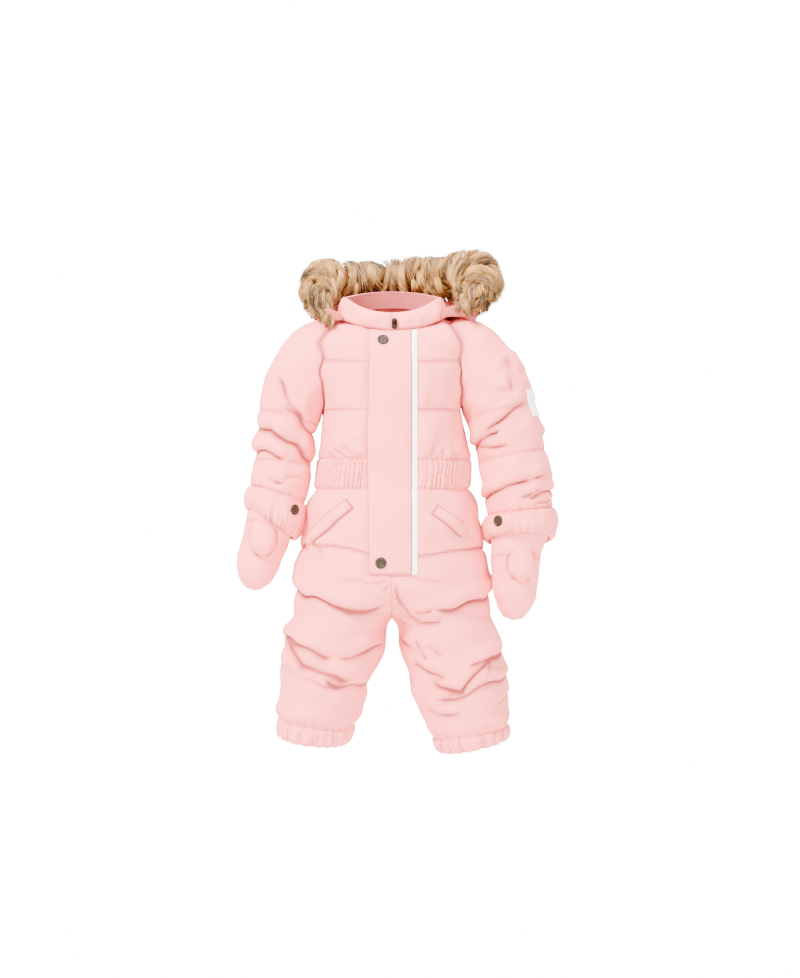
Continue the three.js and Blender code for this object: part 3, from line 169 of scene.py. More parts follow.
# Fur sections: along, x, y, z, half width, half height
FUR = (
    (0, -84, -22, 17, 13, 12), (1, -94, -2, 37, 20, 25), (2, -97, 28, 50, 21, 32), (3, -90, 68, 57, 24, 32),
    (4, -60, 108, 60, 26, 30), (5, -5, 126, 62, 27, 30), (6, 52, 112, 64, 27, 32), (7, 96, 76, 66, 28, 34),
    (8, 113, 34, 64, 31, 36), (9, 110, 4, 47, 31, 30), (10, 97, -18, 31, 18, 16),
)
FUR_ENDS = (0, 5, 10)
HOOD_REACH = (0.2, 9.8)
HOOD_FRONT = math.radians(58)

PLACKET_TOP = 10.5
PLACKET_BOTTOM = 327.0
PLACKET_LIFT = 1.1
PLACKET_CLOTH = 2.2
PLACKET_SIDE = 25.5
STRIPE_LEFT = 26.0
STRIPE_RIGHT = 33.0
STRIPE_CLOTH = 1.1
# The placket's edge on the wearer's right: drop, x
PLACKET_EDGE = ((8, -28.6), (60, -30.4), (150, -31.6), (230, -31), (330, -29.4))
# The seam across the hips at the front: x, drop
HIP_SEAM = ((-125, 287), (-92, 289), (-75, 290.5), (-55, 293), (-30, 300), (0, 303), (34, 303), (54, 301),
            (77, 297), (94, 295.5), (125, 292))
WELTS = {RIGHT: (-105, -279, -54, -234), LEFT: (55, -242, 93, -273)}
WELT_WIDTH = 16.0
LABEL_ALONG = (105, 138)
LABEL_BEARINGS = (-79, -54)
CUFF_SNAPS = {RIGHT: (238, 40), LEFT: (264, 38)}

# Main creases in the front and in the back view: depth, width, line of (x, z)
BODY_CREASES = (
    (3.6, 3.4, ((-130, -30), (-114, -54), (-98, -83))), (1.8, 3, ((-116, -31), (-108, -57))),
    (2.4, 3, ((-112, -74), (-96, -95))), (2.6, 3.2, ((86, -43), (96, -63), (97, -86))),
    (3, 3.2, ((121, -44), (111, -76), (96, -102))), (1.3, 3.5, ((49, -22), (57, -40))),
    (1, 3.5, ((-60, -12), (-60, -31))), (2, 2.4, ((-83, -162), (-74, -177))),
    (2.2, 2.6, ((-74, -157), (-59, -177))), (2, 2.4, ((-60, -157), (-51, -175))),
    (1.8, 2.4, ((-51, -162), (-38, -177))), (1.2, 2.6, ((-49, -144), (-43, -160))),
    (1.6, 2.4, ((42, -158), (44, -173))), (1.8, 2.6, ((53, -147), (47, -177))),
    (1.8, 2.4, ((66, -160), (63, -175))), (1.8, 2.4, ((77, -164), (75, -177))),
    (2, 2.4, ((86, -165), (81, -177))),
)
BODY_BACK_CREASES = (
    (3, 3.6, ((-66, -58), (-84, -86), (-95, -110))), (3, 3.6, ((66, -62), (82, -90), (94, -112))),
    (2, 2.6, ((-72, -150), (-58, -176))), (1.8, 2.4, ((-46, -158), (-40, -176))),
    (1.6, 2.6, ((-8, -152), (-2, -176))), (2, 2.4, ((34, -154), (26, -176))),
    (1.8, 2.6, ((70, -152), (60, -176))),
)
ARM_CREASES = {
    RIGHT: (
        (3.4, 3.6, ((-149, -70), (-131, -102), (-112, -134))),
        (4, 3.6, ((-140, -102), (-114, -132), (-100, -148))),
        (5.4, 3.8, ((-185, -128), (-170, -133), (-157, -135), (-137, -150), (-118, -166), (-104, -184))),
        (4.8, 3.6, ((-188, -161), (-168, -165), (-157, -170), (-139, -178))),
        (2.8, 3.2, ((-157, -202), (-140, -211))), (2.2, 3, ((-140, -200), (-118, -206))),
    ),
    LEFT: (
        (2.4, 3.6, ((150, -38), (156, -62), (155, -90))), (1.4, 3, ((123, -86), (153, -86))),
        (4.4, 3.6, ((124, -142), (159, -108), (172, -98))),
        (4.2, 3.4, ((98, -159), (108, -155), (146, -140))), (3.2, 3.2, ((110, -161), (156, -158))),
        (1, 3, ((175, -151), (201, -150))), (4.2, 3.4, ((115, -229), (129, -224), (152, -211), (178, -200))),
        (3, 3, ((170, -205), (204, -194))), (3.2, 3, ((164, -225), (194, -215))),
        (3.4, 3, ((178, -227), (214, -214))), (2.8, 3, ((178, -241), (212, -230))),
    ),
}
ARM_BACK_CREASES = {
    RIGHT: (
        (3.6, 3.8, ((-182, -134), (-150, -146), (-112, -158))),
        (3, 3.4, ((-186, -190), (-150, -200), (-114, -208))), (2.6, 3.6, ((-150, -74), (-128, -104))),
    ),
    LEFT: (
        (3.6, 3.8, ((206, -142), (160, -156), (118, -168))),
        (3, 3.4, ((212, -202), (168, -214), (126, -222))), (2.6, 3.6, ((160, -80), (136, -112))),
    ),
}
LEG_CREASES = (
    (3, 3, ((-123, -292), (-114, -294), (-104, -296))), (2.4, 3, ((-108, -276), (-86, -303))),
    (2.2, 2.8, ((-2, -331), (-28, -338))), (1.8, 3.2, ((-67, -334), (-25, -340))),
    (2, 2.8, ((0, -333), (-13, -349))), (2.2, 3, ((22, -331), (62, -337))),
    (3.4, 3.2, ((3, -334), (11, -359), (23, -379), (34, -388), (52, -392), (71, -389))),
    (6, 4, ((-140, -336), (-122, -346), (-112, -354), (-76, -367), (-34, -371), (-5, -368))),
    (2.4, 3.2, ((-67, -376), (-9, -379))), (5, 4, ((-152, -401), (-131, -412), (-112, -422), (-77, -439))),
    (4, 4, ((-73, -439), (-54, -434), (-7, -415))),
    (5, 4, ((-144, -404), (-134, -417), (-116, -444), (-73, -460), (-51, -467))),
    (4.4, 3.4, ((-89, -462), (-76, -469), (-45, -474), (-20, -464))),
    (2.2, 3.6, ((-152, -438), (-139, -447), (-118, -460), (-95, -471), (-60, -475))),
    (6, 4, ((50, -377), (75, -371), (94, -364), (114, -357), (138, -336))), (3, 3, ((32, -373), (49, -376))),
    (3, 3, ((4, -386), (20, -394))), (3, 3.2, ((9, -411), (30, -430))), (3, 3.2, ((30, -411), (45, -439))),
    (2.6, 3.2, ((43, -417), (68, -437))), (4, 3.6, ((25, -441), (34, -447), (56, -456), (72, -465))),
    (5.6, 3.8, ((52, -462), (62, -473), (75, -476), (90, -474), (101, -462), (126, -438), (150, -425))),
    (4, 3.4, ((98, -447), (117, -437), (152, -423))), (2.6, 3, ((132, -437), (126, -462))),
    (4, 3.8, ((52, -493), (81, -487), (107, -478), (160, -457))),
    (3, 3.4, ((43, -503), (62, -510), (93, -510))), (2.4, 3, ((133, -502), (160, -480))),
)
LEG_BACK_CREASES = (
    (5.5, 4.2, ((-138, -340), (-90, -362), (-40, -374), (-8, -372))),
    (5.5, 4.2, ((138, -342), (92, -364), (42, -374), (8, -370))), (3, 3.6, ((-60, -384), (-14, -390))),
    (3, 3.6, ((64, -388), (18, -394))), (4.6, 4, ((-150, -408), (-110, -424), (-64, -436), (-16, -424))),
    (4.6, 4, ((152, -412), (112, -430), (66, -442), (18, -430))),
    (4, 3.8, ((-146, -440), (-100, -460), (-52, -466))), (4, 3.8, ((150, -440), (104, -466), (54, -476))),
    (3, 3.6, ((-122, -482), (-66, -492))), (3.2, 3.6, ((140, -488), (84, -504))),
)

WHITE = (1, 1, 1, 1)
# Cloths: material, colour, darker colour painted into its folds as shade, thread scale, roughness, sheen
CLOTHS = {
    "shell": ("shell_poplin", "cloth", "fold", 560, 0.82, 0.08),
    "lining": ("lining_taffeta", "lining", "fold", 700, 0.6, 0.05),
    "hood": ("hood_poplin", "hood", "fold", 560, 0.85, 0.08),
    "label": ("label_satin", "label", "label", 420, 0.6, 0.05),
    "thread": ("sewing_thread", "thread", "fold", 1500, 0.6, 0.1),
}


def length_property(name, description, default, lowest, highest):
    return bpy.props.FloatProperty(
        name=name, description=description, default=default, min=lowest, max=highest,
        subtype="DISTANCE", unit="LENGTH", precision=5,
    )


def colour_property(name, description, default):
    return bpy.props.FloatVectorProperty(
        name=name, description=description, default=default, size=4, min=0, max=1, subtype="COLOR",
    )


class SnowsuitSizes(bpy.types.PropertyGroup):
    """Sizes of the cloth, its folds and the fur"""

    cloth: length_property("Cloth thickness", "Thickness of the padded cloth walls", 0.0026, 0.001, 0.005)
    mesh_step: length_property("Mesh step", "Distance between the points of the cloth", 0.0024, 0.0015, 0.006)
    seam_roll: length_property("Seam roll", "How far the cloth turns in along a seam", 0.0014, 0, 0.004)
    pucker: length_property("Pucker", "Height of the puckers along stitched lines", 0.0008, 0, 0.003)
    gather: length_property("Gather", "Height of the gathers over elastic", 0.0015, 0, 0.004)
    unevenness: length_property("Unevenness", "Soft waviness of the cloth", 0.0008, 0, 0.003)
    stitch: length_property("Stitch length", "Length of one stitch", 0.0026, 0.001, 0.006)
    fur_overhang: length_property("Fur overhang", "Reach of the locks past the trim's form", 0.004, 0, 0.01)
    crease_share: bpy.props.FloatProperty(
        name="Crease depth", description="Depth of the main creases as a share of their measured depth",
        default=1.5, min=0, max=2, subtype="FACTOR",
    )
    fur_strands: bpy.props.IntProperty(
        name="Fur strands", description="Number of strands on each half of the trim",
        default=10500, min=100, max=12000,
    )
    seed: bpy.props.IntProperty(name="Seed", description="Seed of all uneven shapes", default=7, min=0)


class SnowsuitColours(bpy.types.PropertyGroup):
    """Colours of the cloth, fur and fasteners"""

    cloth: colour_property("Cloth", "Shell cloth", (0.84, 0.18, 0.168, 1))
    # Painted shade: this darker colour is mixed into the cloth in creases, seams, stitched lines and gathers
    fold: colour_property("Painted shade in folds", "Shell cloth darkened as painted shade deep in its folds", (0.27, 0.04, 0.033, 1))
    lining: colour_property("Lining", "Cloth on the inside", (0.56, 0.14, 0.13, 1))
    # Painted shade: the hood's cloth is given a darker colour than the shell, for the shade it lies in under
    # the fur
    hood: colour_property("Hood", "Cloth of the hood, darkened as painted shade under the fur", (0.5, 0.1, 0.088, 1))
    thread: colour_property("Thread", "Sewing thread", (0.62, 0.12, 0.11, 1))
    # Partly painted: silvery white tape, with a faint pink cast that stands for pink light reflected onto it
    # from the cloth
    stripe: colour_property("Stripe", "Reflective stripe", (0.96, 0.9, 0.92, 1))
    label: colour_property("Label", "Woven label", (0.85, 0.83, 0.8, 1))
    fur_root: colour_property("Fur roots", "Fur next to the cloth", (0.2, 0.085, 0.02, 1))
    fur_tip: colour_property("Fur tips", "Ends of the locks", (0.44, 0.205, 0.042, 1))
    fur_streak: colour_property("Fur streaks", "Dark strands in the fur", (0.045, 0.024, 0.012, 1))
    snap: colour_property("Snaps", "Old brass of the snap caps", (0.022, 0.018, 0.012, 1))
    zip: colour_property("Zip", "Dark metal of the slider", (0.02, 0.01, 0.007, 1))
    floor: colour_property("Floor", "Floor and backdrop of the studio", (0.96, 0.96, 0.96, 1))


def sizes():
    return bpy.context.scene.snowsuit_sizes


def colours():
    return bpy.context.scene.snowsuit_colours


# Number helpers
def power(value, exponent):
    return np.sign(value) * np.abs(value) ** exponent


def smooth(start, end, value):
    t = np.clip((np.asarray(value, float) - start) / (end - start), 0, 1)
    return t * t * (3 - 2 * t)


def mix(a, b, t):
    return a + (b - a) * t


def unit(vectors):
    return vectors / np.maximum(np.linalg.norm(vectors, axis=-1, keepdims=True), 1e-9)


def along_table(rows, value):
    """Linear reading of a two-column table."""
    keys, values = np.array(rows, float).T
    return np.interp(value, keys, values)


def curve_through(rows):
    """A smooth curve through the rows of a table, read at any values of its first column."""
    table = np.array(rows, float)
    keys, values = table[:, 0], table[:, 1:]
    before = np.maximum(np.arange(len(keys)) - 1, 0)
    after = np.minimum(np.arange(len(keys)) + 1, len(keys) - 1)
    slopes = (values[after] - values[before]) / (keys[after] - keys[before])[:, None]

    def read(value):
        value = np.asarray(value, float)
        i = np.clip(np.searchsorted(keys, value, side="right") - 1, 0, len(keys) - 2)
        span = (keys[i + 1] - keys[i])[..., None]
        t = (value - keys[i])[..., None] / span
        curve = ((2 * t**3 - 3 * t**2 + 1) * values[i] + (t**3 - 2 * t**2 + t) * slopes[i] * span
                 + (3 * t**2 - 2 * t**3) * values[i + 1] + (t**3 - t**2) * slopes[i + 1] * span)
        return np.moveaxis(curve, -1, 0)

    return read


torso_ring = curve_through(TORSO)
leg_ring = {side: curve_through(LEGS[side]) for side in SIDES}
fur_section = curve_through(FUR)


def uneven(points, wavelengths, key, count=14):
    """Band-limited waviness with a spread of about 1 at points in millimetres."""
    rng = np.random.default_rng([sizes().seed, key])
    directions = unit(rng.normal(size=(count, 3)))
    waves = TURN / rng.uniform(*wavelengths, count)
    phases = rng.uniform(0, TURN, count)
    total = np.zeros(points.shape[:-1])
    for direction, wave, phase in zip(directions, waves, phases):
        total += np.sin(points @ direction * wave + phase)
    return total / math.sqrt(count / 2)


def gathered(arc, pitch, key, wander=1.0):
    """Irregular gathers from -1 to 1 with sharp valleys and round ridges along an arc length."""
    rng = np.random.default_rng([sizes().seed, key])
    a, b, c = rng.uniform(0, TURN, 3)
    angle = TURN * arc / pitch
    drift = 1.1 * np.sin(angle / 5.3 + a) + 0.8 * np.sin(angle / 2.7 + b) + 0.5 * np.sin(angle / 1.6 + c)
    angle = angle + wander * drift
    return 2 * np.abs(np.sin(angle / 2)) ** 0.75 - 1


def crease_relief(points, creases, key, wobble=1.5):
    """Creases as troughs under a fuller roll of cloth, by their place in a view.

    Gives the height, how deep in a crease each point lies from 0 to 1, which sets its painted shade, and how
    far the roll sags.
    """
    flat = points[..., [0, 2]].reshape(-1, 2)
    warp = points.reshape(-1, 3)
    flat = flat + wobble * np.stack([uneven(warp, (26, 60), key), uneven(warp, (26, 60), key + 1)], -1)
    valley = np.zeros(len(flat))
    lips = np.zeros(len(flat))
    sag = np.zeros(len(flat))
    for number, (deep, wide, line) in enumerate(creases):
        line = np.array(line, float)
        reach = 7 * wide
        near = np.all((flat > line.min(0) - reach) & (flat < line.max(0) + reach), axis=1)
        index = np.flatnonzero(near)
        if len(index) == 0:
            continue
        here = flat[index]
        best = np.full(len(here), 1e9)
        offset = np.zeros(len(here))
        progress = np.zeros(len(here))
        lengths = np.linalg.norm(np.diff(line, axis=0), axis=1)
        passed = np.concatenate([[0], np.cumsum(lengths)])
        for k, length in enumerate(lengths):
            direction = (line[k + 1] - line[k]) / length
            away = here - line[k]
            t = np.clip(away @ direction, 0, length)
            gap = away - t[:, None] * direction
            distance = np.linalg.norm(gap, axis=1)
            closer = distance < best
            best = np.where(closer, distance, best)
            above = np.sign(direction[0] * gap[:, 1] - direction[1] * gap[:, 0] + 1e-9)
            if direction[0] < 0:
                above = -above
            offset = np.where(closer, above * distance, offset)
            progress = np.where(closer, (passed[k] + t) / passed[-1], progress)
        taper = smooth(-0.04, 0.16, progress) * smooth(-0.04, 0.16, 1 - progress)
        depth = deep * taper * (0.85 + 0.15 * np.sin(9 * progress + 2.1 * number))
        pressed = depth * np.exp(-(np.abs(offset) / np.where(offset > 0, 0.75 * wide, 1.5 * wide)) ** 1.2)
        valley[index] = np.maximum(valley[index], pressed) + 0.35 * np.minimum(valley[index], pressed)
        lips[index] += depth * 0.55 * np.exp(-(((offset - 2.3 * wide) / (1.8 * wide)) ** 2))
        sag[index] = np.maximum(sag[index], depth * 0.5 * np.exp(-(((offset - wide) / (1.1 * wide)) ** 2)))
    share = sizes().crease_share
    height = share * (np.minimum(lips, 3.6) - np.minimum(valley, 8))
    # Painted shade: the deepest parts of the crease valleys get the darker colour
    painted_shade = np.clip(valley / 2.8, 0, 1) ** 1.8
    return tuple(part.reshape(points.shape[:-1]) for part in (height, painted_shade, share * sag))


def both_views(points, frontness, front, back, key):
    """Creases of the front and of the back view, which meet softly at the sides."""
    front_share = smooth(-0.5, 0.15, frontness)
    back_share = smooth(-0.5, 0.15, -frontness)
    return tuple(front_share * a + back_share * b for a, b in zip(
        crease_relief(points, front, key), crease_relief(points, back, key + 10)))


def sagged(points, distance):
    """Points that hang down by a distance."""
    return points - distance[..., None] * np.array([0.0, 0.0, 1.0])


def padding(value, lines, rises, fullness=0.5):
    """Height of the filling between stitched lines."""
    lines = np.array(lines, float)
    i = np.clip(np.searchsorted(lines, value, side="right") - 1, 0, len(lines) - 2)
    t = np.clip((value - lines[i]) / (lines[i + 1] - lines[i]), 0, 1)
    return np.array(rises, float)[i] * np.sin(np.pi * t) ** fullness


def nearest_line(value, lines):
    return np.min(np.abs(np.asarray(value, float)[..., None] - np.array(lines, float)), axis=-1)


def puckers(arc, distance, key, reach=7.0):
    """Short wrinkles across a stitched line, of uneven length, that fade away from it."""
    rng = np.random.default_rng([sizes().seed, key])
    a, b, c = rng.uniform(0, TURN, 3)
    lengths = reach * (0.75 + 0.5 * np.sin(arc / 5.1 + a) * np.sin(arc / 13.7 + b))
    strength = 0.65 + 0.35 * np.sin(arc / 8.3 + c)
    wrinkles = gathered(arc + 0.12 * distance * np.sin(arc / 11 + b), 5.6, key)
    return sizes().pucker / MM * strength * wrinkles * np.exp(-distance / lengths)


def roll(distance):
    """How far the cloth turns in near a seam, at a distance from it."""
    return -sizes().seam_roll / MM * np.exp(-((distance / 1.8) ** 2))


def surface_normal(surface, u, v, step_u, step_v):
    along_u = surface(u + step_u, v) - surface(u - step_u, v)
    along_v = surface(u, v + step_v) - surface(u, v - step_v)
    return unit(np.cross(along_u, along_v))


# Torso: bearing 0 is the middle of the front, a quarter turn the wearer's left
def torso_base(bearing, drop):
    side_z, back_z, centre, half, front, back = torso_ring(drop)
    c = np.cos(bearing)
    front_share = np.maximum(c, 0) ** 2
    back_share = np.maximum(-c, 0) ** 2
    height = side_z + (-drop - side_z) * front_share + (back_z - side_z) * back_share
    depth = np.where(c > 0, front, back)
    return np.stack([centre + half * power(np.sin(bearing), TORSO_ROUNDNESS),
                     -depth * power(c, TORSO_ROUNDNESS), height], -1)


def torso_normal(bearing, drop):
    normal = surface_normal(torso_base, bearing, drop, 0.02, 1.0)
    normal[..., 2] *= 1 - smooth(LEVEL_FROM - 40, LEVEL_FROM, drop)
    normal = unit(normal)
    outward = np.sin(bearing) * normal[..., 0] - np.cos(bearing) * normal[..., 1]
    return normal * np.where(outward < 0, -1, 1)[..., None]


def clear_of_placket(x, frontness):
    """0 under the placket and stripe, where the cloth lies flat, and 1 outside them."""
    outside = np.maximum(np.maximum(-31 - x, x - STRIPE_RIGHT), 0)
    return np.where(frontness > 0, smooth(0.5, 9, outside), 1.0)


def torso_surface(bearing, drop, lift=0.0):
    """Points of the padded torso, and how deep in its folds each point lies, as painted shade that also
    darkens the stitched lines and gathers.
    """
    base = torso_base(bearing, drop)
    frontness = np.cos(bearing)
    rises = padding(drop, QUILT_DROPS, QUILT_RISES) * (1 - 0.6 * np.sin(bearing) ** 4)
    folds, depth, sag = both_views(base, frontness, BODY_CREASES, BODY_BACK_CREASES, 20)
    ends = smooth(0, 7, drop - NECK_DROP) * smooth(-4, 3, WAIST_TOP - drop)
    to_line = nearest_line(drop, QUILT_DROPS[2:4])
    arc = bearing * CHEST_RADIUS
    above = WAIST_TOP - drop
    pull = gathered(arc + 0.25 * above * np.sin(arc / 19), 7.4, 5) * np.exp(-above / 9)
    wide_pull = 0.8 * gathered(arc + 0.4 * above * np.sin(arc / 31), 17, 6) * np.exp(-above / 20)
    pull = pull + wide_pull * smooth(0, 6, above)
    waviness = uneven(base, (22, 60), 31) * smooth(0, 9, to_line)
    height = (rises + ends * folds + sizes().gather / MM * 0.9 * pull + puckers(arc, to_line, 33, 9)
              + sizes().unevenness / MM * waviness)
    clear = clear_of_placket(base[..., 0], frontness)
    height = clear * np.maximum(height, -1.2) + lift
    # Painted shade along the stitched lines, changing in strength round the body, and in the valleys of the
    # gathers above the waistband
    middle = 0.55 + 0.45 * np.sin(bearing * 2.3 + 0.6) ** 2
    painted_shade = np.maximum(depth * ends, 0.8 * middle * np.exp(-((to_line / 1.8) ** 2)))
    painted_shade = np.maximum(painted_shade, 0.35 * np.clip(-pull, 0, 1))
    points = base + torso_normal(bearing, drop) * height[..., None]
    return sagged(points, sag * clear * ends * smooth(3, 12, above)), painted_shade


def waist_surface(bearing, drop, lift=0.0):
    base = torso_base(bearing, drop)
    t = np.clip((drop - WAIST_TOP) / (WAIST_BOTTOM - WAIST_TOP), 0, 1)
    swell = 3.2 * np.sin(np.pi * t) ** 0.6
    arc = bearing * WAIST_RADIUS
    slant = arc + 0.9 * np.sin(drop / 9 + arc / 24) + 0.6 * np.sin(drop / 5 + arc / 11)
    folds = gathered(slant, 6.6, 7)
    fine = gathered(slant + 3, 4.3, 8)
    height = swell + sizes().gather / MM * (1.05 * folds + 0.4 * fine) + 0.4 * uneven(base, (10, 24), 41)
    height = clear_of_placket(base[..., 0], np.cos(bearing)) * height + lift
    # The second value is painted shade in the valleys of the waistband's gathers
    return base + torso_normal(bearing, drop) * height[..., None], np.clip(0.1 - 0.8 * folds, 0, 1)


# Trousers of one side: bearing 0 is the front of the leg, a quarter turn its outer side
def trouser_base(side, bearing, drop):
    centre, half, front, back, shift = leg_ring[side](drop)
    depth = np.where(np.cos(bearing) > 0, front, back)
    return np.stack([side * (centre + half * power(np.sin(bearing), LEG_ROUNDNESS)),
                     shift - depth * power(np.cos(bearing), LEG_ROUNDNESS), -np.asarray(drop, float)], -1)


def trouser_normal(side, bearing, drop):
    _, half, front, back, _ = leg_ring[side](drop)
    depth = np.where(np.cos(bearing) > 0, front, back)
    return unit(np.stack([side * np.sin(bearing) / half, -np.cos(bearing) / depth, np.zeros_like(depth)], -1))


def leg_line(side, bearing, middle):
    """Drop of the cuff seam or hem round a leg: lower at the front and on the inner side."""
    return middle + LEG_BOWS[side] * np.cos(bearing) + LEG_TILTS[side] * np.sin(bearing)


def hip_seam_drop(x, frontness):
    return mix(300, along_table(HIP_SEAM, x), smooth(-0.3, 0.3, frontness))


def trouser_height(side, bearing, drop, base):
    frontness = np.cos(bearing)
    seam = hip_seam_drop(base[..., 0], frontness)
    t = np.clip((drop - WAIST_BOTTOM) / (seam - WAIST_BOTTOM), 0, 1)
    hip = 3.0 * np.sin(np.pi * t) ** 0.6
    below = drop - seam
    puff = 4.4 * (1 - np.exp(-np.maximum(below, 0) / 6)) * (1 - smooth(45, 100, below))
    groove = -1.6 * np.exp(-((np.abs(below) / 2.2) ** 1.3))
    folds, depth, sag = both_views(base, frontness, LEG_CREASES, LEG_BACK_CREASES, 50)
    middle = np.minimum(smooth(0, 9, np.abs(base[..., 0])) + smooth(CROTCH_DROP, CROTCH_DROP + 16, drop), 1)
    inseam = smooth(-1, -0.8, np.sin(bearing))
    end = leg_line(side, bearing, LEG_SEAMS[side]) - drop
    edges = smooth(0, 8, drop - WAIST_BOTTOM) * smooth(0, 9, end)
    overhang = 3.6 * np.exp(-(((end - 12) / 9) ** 2)) * smooth(0, 9, end)
    arc = np.where(frontness > 0, bearing, np.pi - bearing) * 104 * side
    top = gathered(arc, 6.6, 9) * np.exp(-(drop - WAIST_BOTTOM) / 7)
    cuff = gathered(bearing * 52, 12, 11 + side) * np.exp(-np.maximum(end, 0) / 8)
    to_line = np.minimum(np.abs(below), np.abs(end) + 2)
    waviness = uneven(base, (24, 70), 61) * smooth(0, 9, to_line)
    height = (hip + puff + groove + edges * folds * middle * inseam + overhang
              + sizes().gather / MM * (0.8 * top + 0.7 * cuff)
              + puckers(arc, to_line, 63, 10) + 1.3 * sizes().unevenness / MM * waviness)
    placket = np.maximum(smooth(PLACKET_BOTTOM + 1, PLACKET_BOTTOM + 9, drop),
                         clear_of_placket(base[..., 0], frontness))
    # Painted shade in the creases, along the hip seam and in the valleys of the cuff gathers
    painted_shade = np.maximum(depth * middle * edges, 0.9 * np.exp(-((below / 1.8) ** 2)))
    painted_shade = np.maximum(painted_shade, 0.5 * np.clip(-cuff, 0, 1))
    return placket * np.maximum(height, -1.2), painted_shade, sag * middle * edges * placket * smooth(2, 14, end)


def trouser_surface(side, bearing, drop, lift=0.0):
    base = trouser_base(side, bearing, drop)
    height, painted_shade, sag = trouser_height(side, bearing, drop, base)
    points = sagged(base + trouser_normal(side, bearing, drop) * (height + lift)[..., None], sag)
    clipped = side * np.maximum(side * points[..., 0], SEAM_GAP / 2)
    points[..., 0] = np.where(drop < CROTCH_DROP, clipped, points[..., 0])
    return points, painted_shade


def inner_bearing(side, drop, inset):
    """The inner end of a trouser panel: the middle seam above the crotch, the inseam below it."""
    centre, half, front, _, _ = leg_ring[side](drop)
    half = half - inset
    reach = np.minimum(np.maximum(centre - SEAM_GAP / 2, -SEAM_GAP / 2) / half, 1)
    clip = -np.arcsin(power(reach, 1 / LEG_ROUNDNESS))
    return np.maximum(clip, -(QUARTER - (SEAM_GAP / 2 / front) ** (1 / LEG_ROUNDNESS)))


def front_surface(x, drop, lift=0.0):
    """A point of the suit's front by its distance from the middle and its drop, moved out by lift."""
    x, drop = np.broadcast_arrays(np.asarray(x, float), np.asarray(drop, float))
    _, _, centre, half, _, _ = torso_ring(drop)
    bearing = np.arcsin(np.clip(power((x - centre) / half, 1 / TORSO_ROUNDNESS), -1, 1))
    chest, chest_shade = torso_surface(bearing, drop, lift)
    waist, waist_shade = waist_surface(bearing, drop, lift)
    result = np.where((drop <= WAIST_TOP)[..., None], chest, waist)
    painted_shade = np.where(drop <= WAIST_TOP, chest_shade, waist_shade)
    for side in SIDES:
        leg_centre, leg_half, _, _, _ = leg_ring[side](drop)
        turn = np.arcsin(np.clip(power((np.abs(x) - leg_centre) / leg_half, 1 / LEG_ROUNDNESS), -1, 1))
        base = trouser_base(side, turn, drop)
        height, leg_shade, sag = trouser_height(side, turn, drop, base)
        points = sagged(base + trouser_normal(side, turn, drop) * (height + lift)[..., None], sag)
        chosen = (drop > WAIST_BOTTOM) & ((x < 0) == (side < 0))
        result = np.where(chosen[..., None], points, result)
        painted_shade = np.where(chosen, leg_shade, painted_shade)
    return result, painted_shade


# Limbs: bearing 0 is the front, a quarter turn the side next to the body
def limb(rows, side):
    section = curve_through(rows)

    def surface(bearing, along, lift=0.0):
        x, y, z, across, through = section(along)
        before = np.stack(section(np.asarray(along, float) - 1)[:3], -1)
        after = np.stack(section(np.asarray(along, float) + 1)[:3], -1)
        direction = unit(after - before)
        forward = np.array([0.0, -1.0, 0.0]) - direction * (-direction[..., 1:2])
        forward = unit(forward)
        inward = np.cross(direction, forward)
        points = (np.stack([x, y, z], -1) + forward * ((through + lift) * np.cos(bearing))[..., None]
                  + inward * ((across + lift) * np.sin(bearing))[..., None])
        points[..., 0] *= side
        return points

    return surface


sleeve_form = {side: limb(ARMS[side], side) for side in SIDES}
mitten_form = {side: limb(MITTENS[side], side) for side in SIDES}
thumb_form = {side: limb(THUMBS[side], side) for side in SIDES}


def sleeve_end(side, bearing):
    return SLEEVE_ENDS[side] + SLEEVE_TILTS[side] * np.sin(bearing)


def cuff_end(side, bearing):
    return CUFF_ENDS[side] + CUFF_TILTS[side] * np.sin(bearing) - CUFF_BOWS[side] * np.cos(bearing)


def sleeve_surface(side, bearing, along, lift=0.0):
    base = sleeve_form[side](bearing, along)
    lines = SLEEVE_QUILTS[side]
    quilts = padding(along, lines, [4.2] * len(lines), 0.55) * (1 - 0.5 * np.maximum(np.sin(bearing), 0))
    folds, depth, sag = both_views(base, np.cos(bearing), ARM_CREASES[side], ARM_BACK_CREASES[side], 70)
    end = sleeve_end(side, bearing) - along
    to_line = nearest_line(along, lines[1:3])
    gathers = gathered(bearing * 38, 9, 13 + side) * np.exp(-np.maximum(end, 0) / 7)
    label = 1.0
    if side == LEFT:
        low, high = np.radians(LABEL_BEARINGS)
        turn = np.maximum(np.maximum(low - bearing, bearing - high), 0) * 45
        reach = np.maximum(np.maximum(LABEL_ALONG[0] - along, along - LABEL_ALONG[1]), 0)
        label = smooth(1, 8, np.hypot(turn, reach))
    groove = -1.0 * np.exp(-((to_line / 1.8) ** 2)) * smooth(0.2, -0.6, np.sin(bearing))
    height = (quilts + smooth(0, 8, end) * folds + label * (groove + puckers(bearing * 40, to_line, 73)
              + sizes().unevenness / MM * uneven(base, (20, 60), 71)) + 0.8 * sizes().gather / MM * gathers)
    height = np.maximum(height, -1.2)
    # Painted shade in the creases, along the stitched lines and in the gathers at the sleeve's end
    painted_shade = np.maximum(depth * smooth(0, 8, end), 0.5 * label * np.exp(-((to_line / 1.8) ** 2)))
    painted_shade = np.maximum(painted_shade, 0.5 * np.clip(-gathers, 0, 1))
    return sagged(sleeve_form[side](bearing, along, height + lift), sag * label * smooth(2, 14, end)), painted_shade


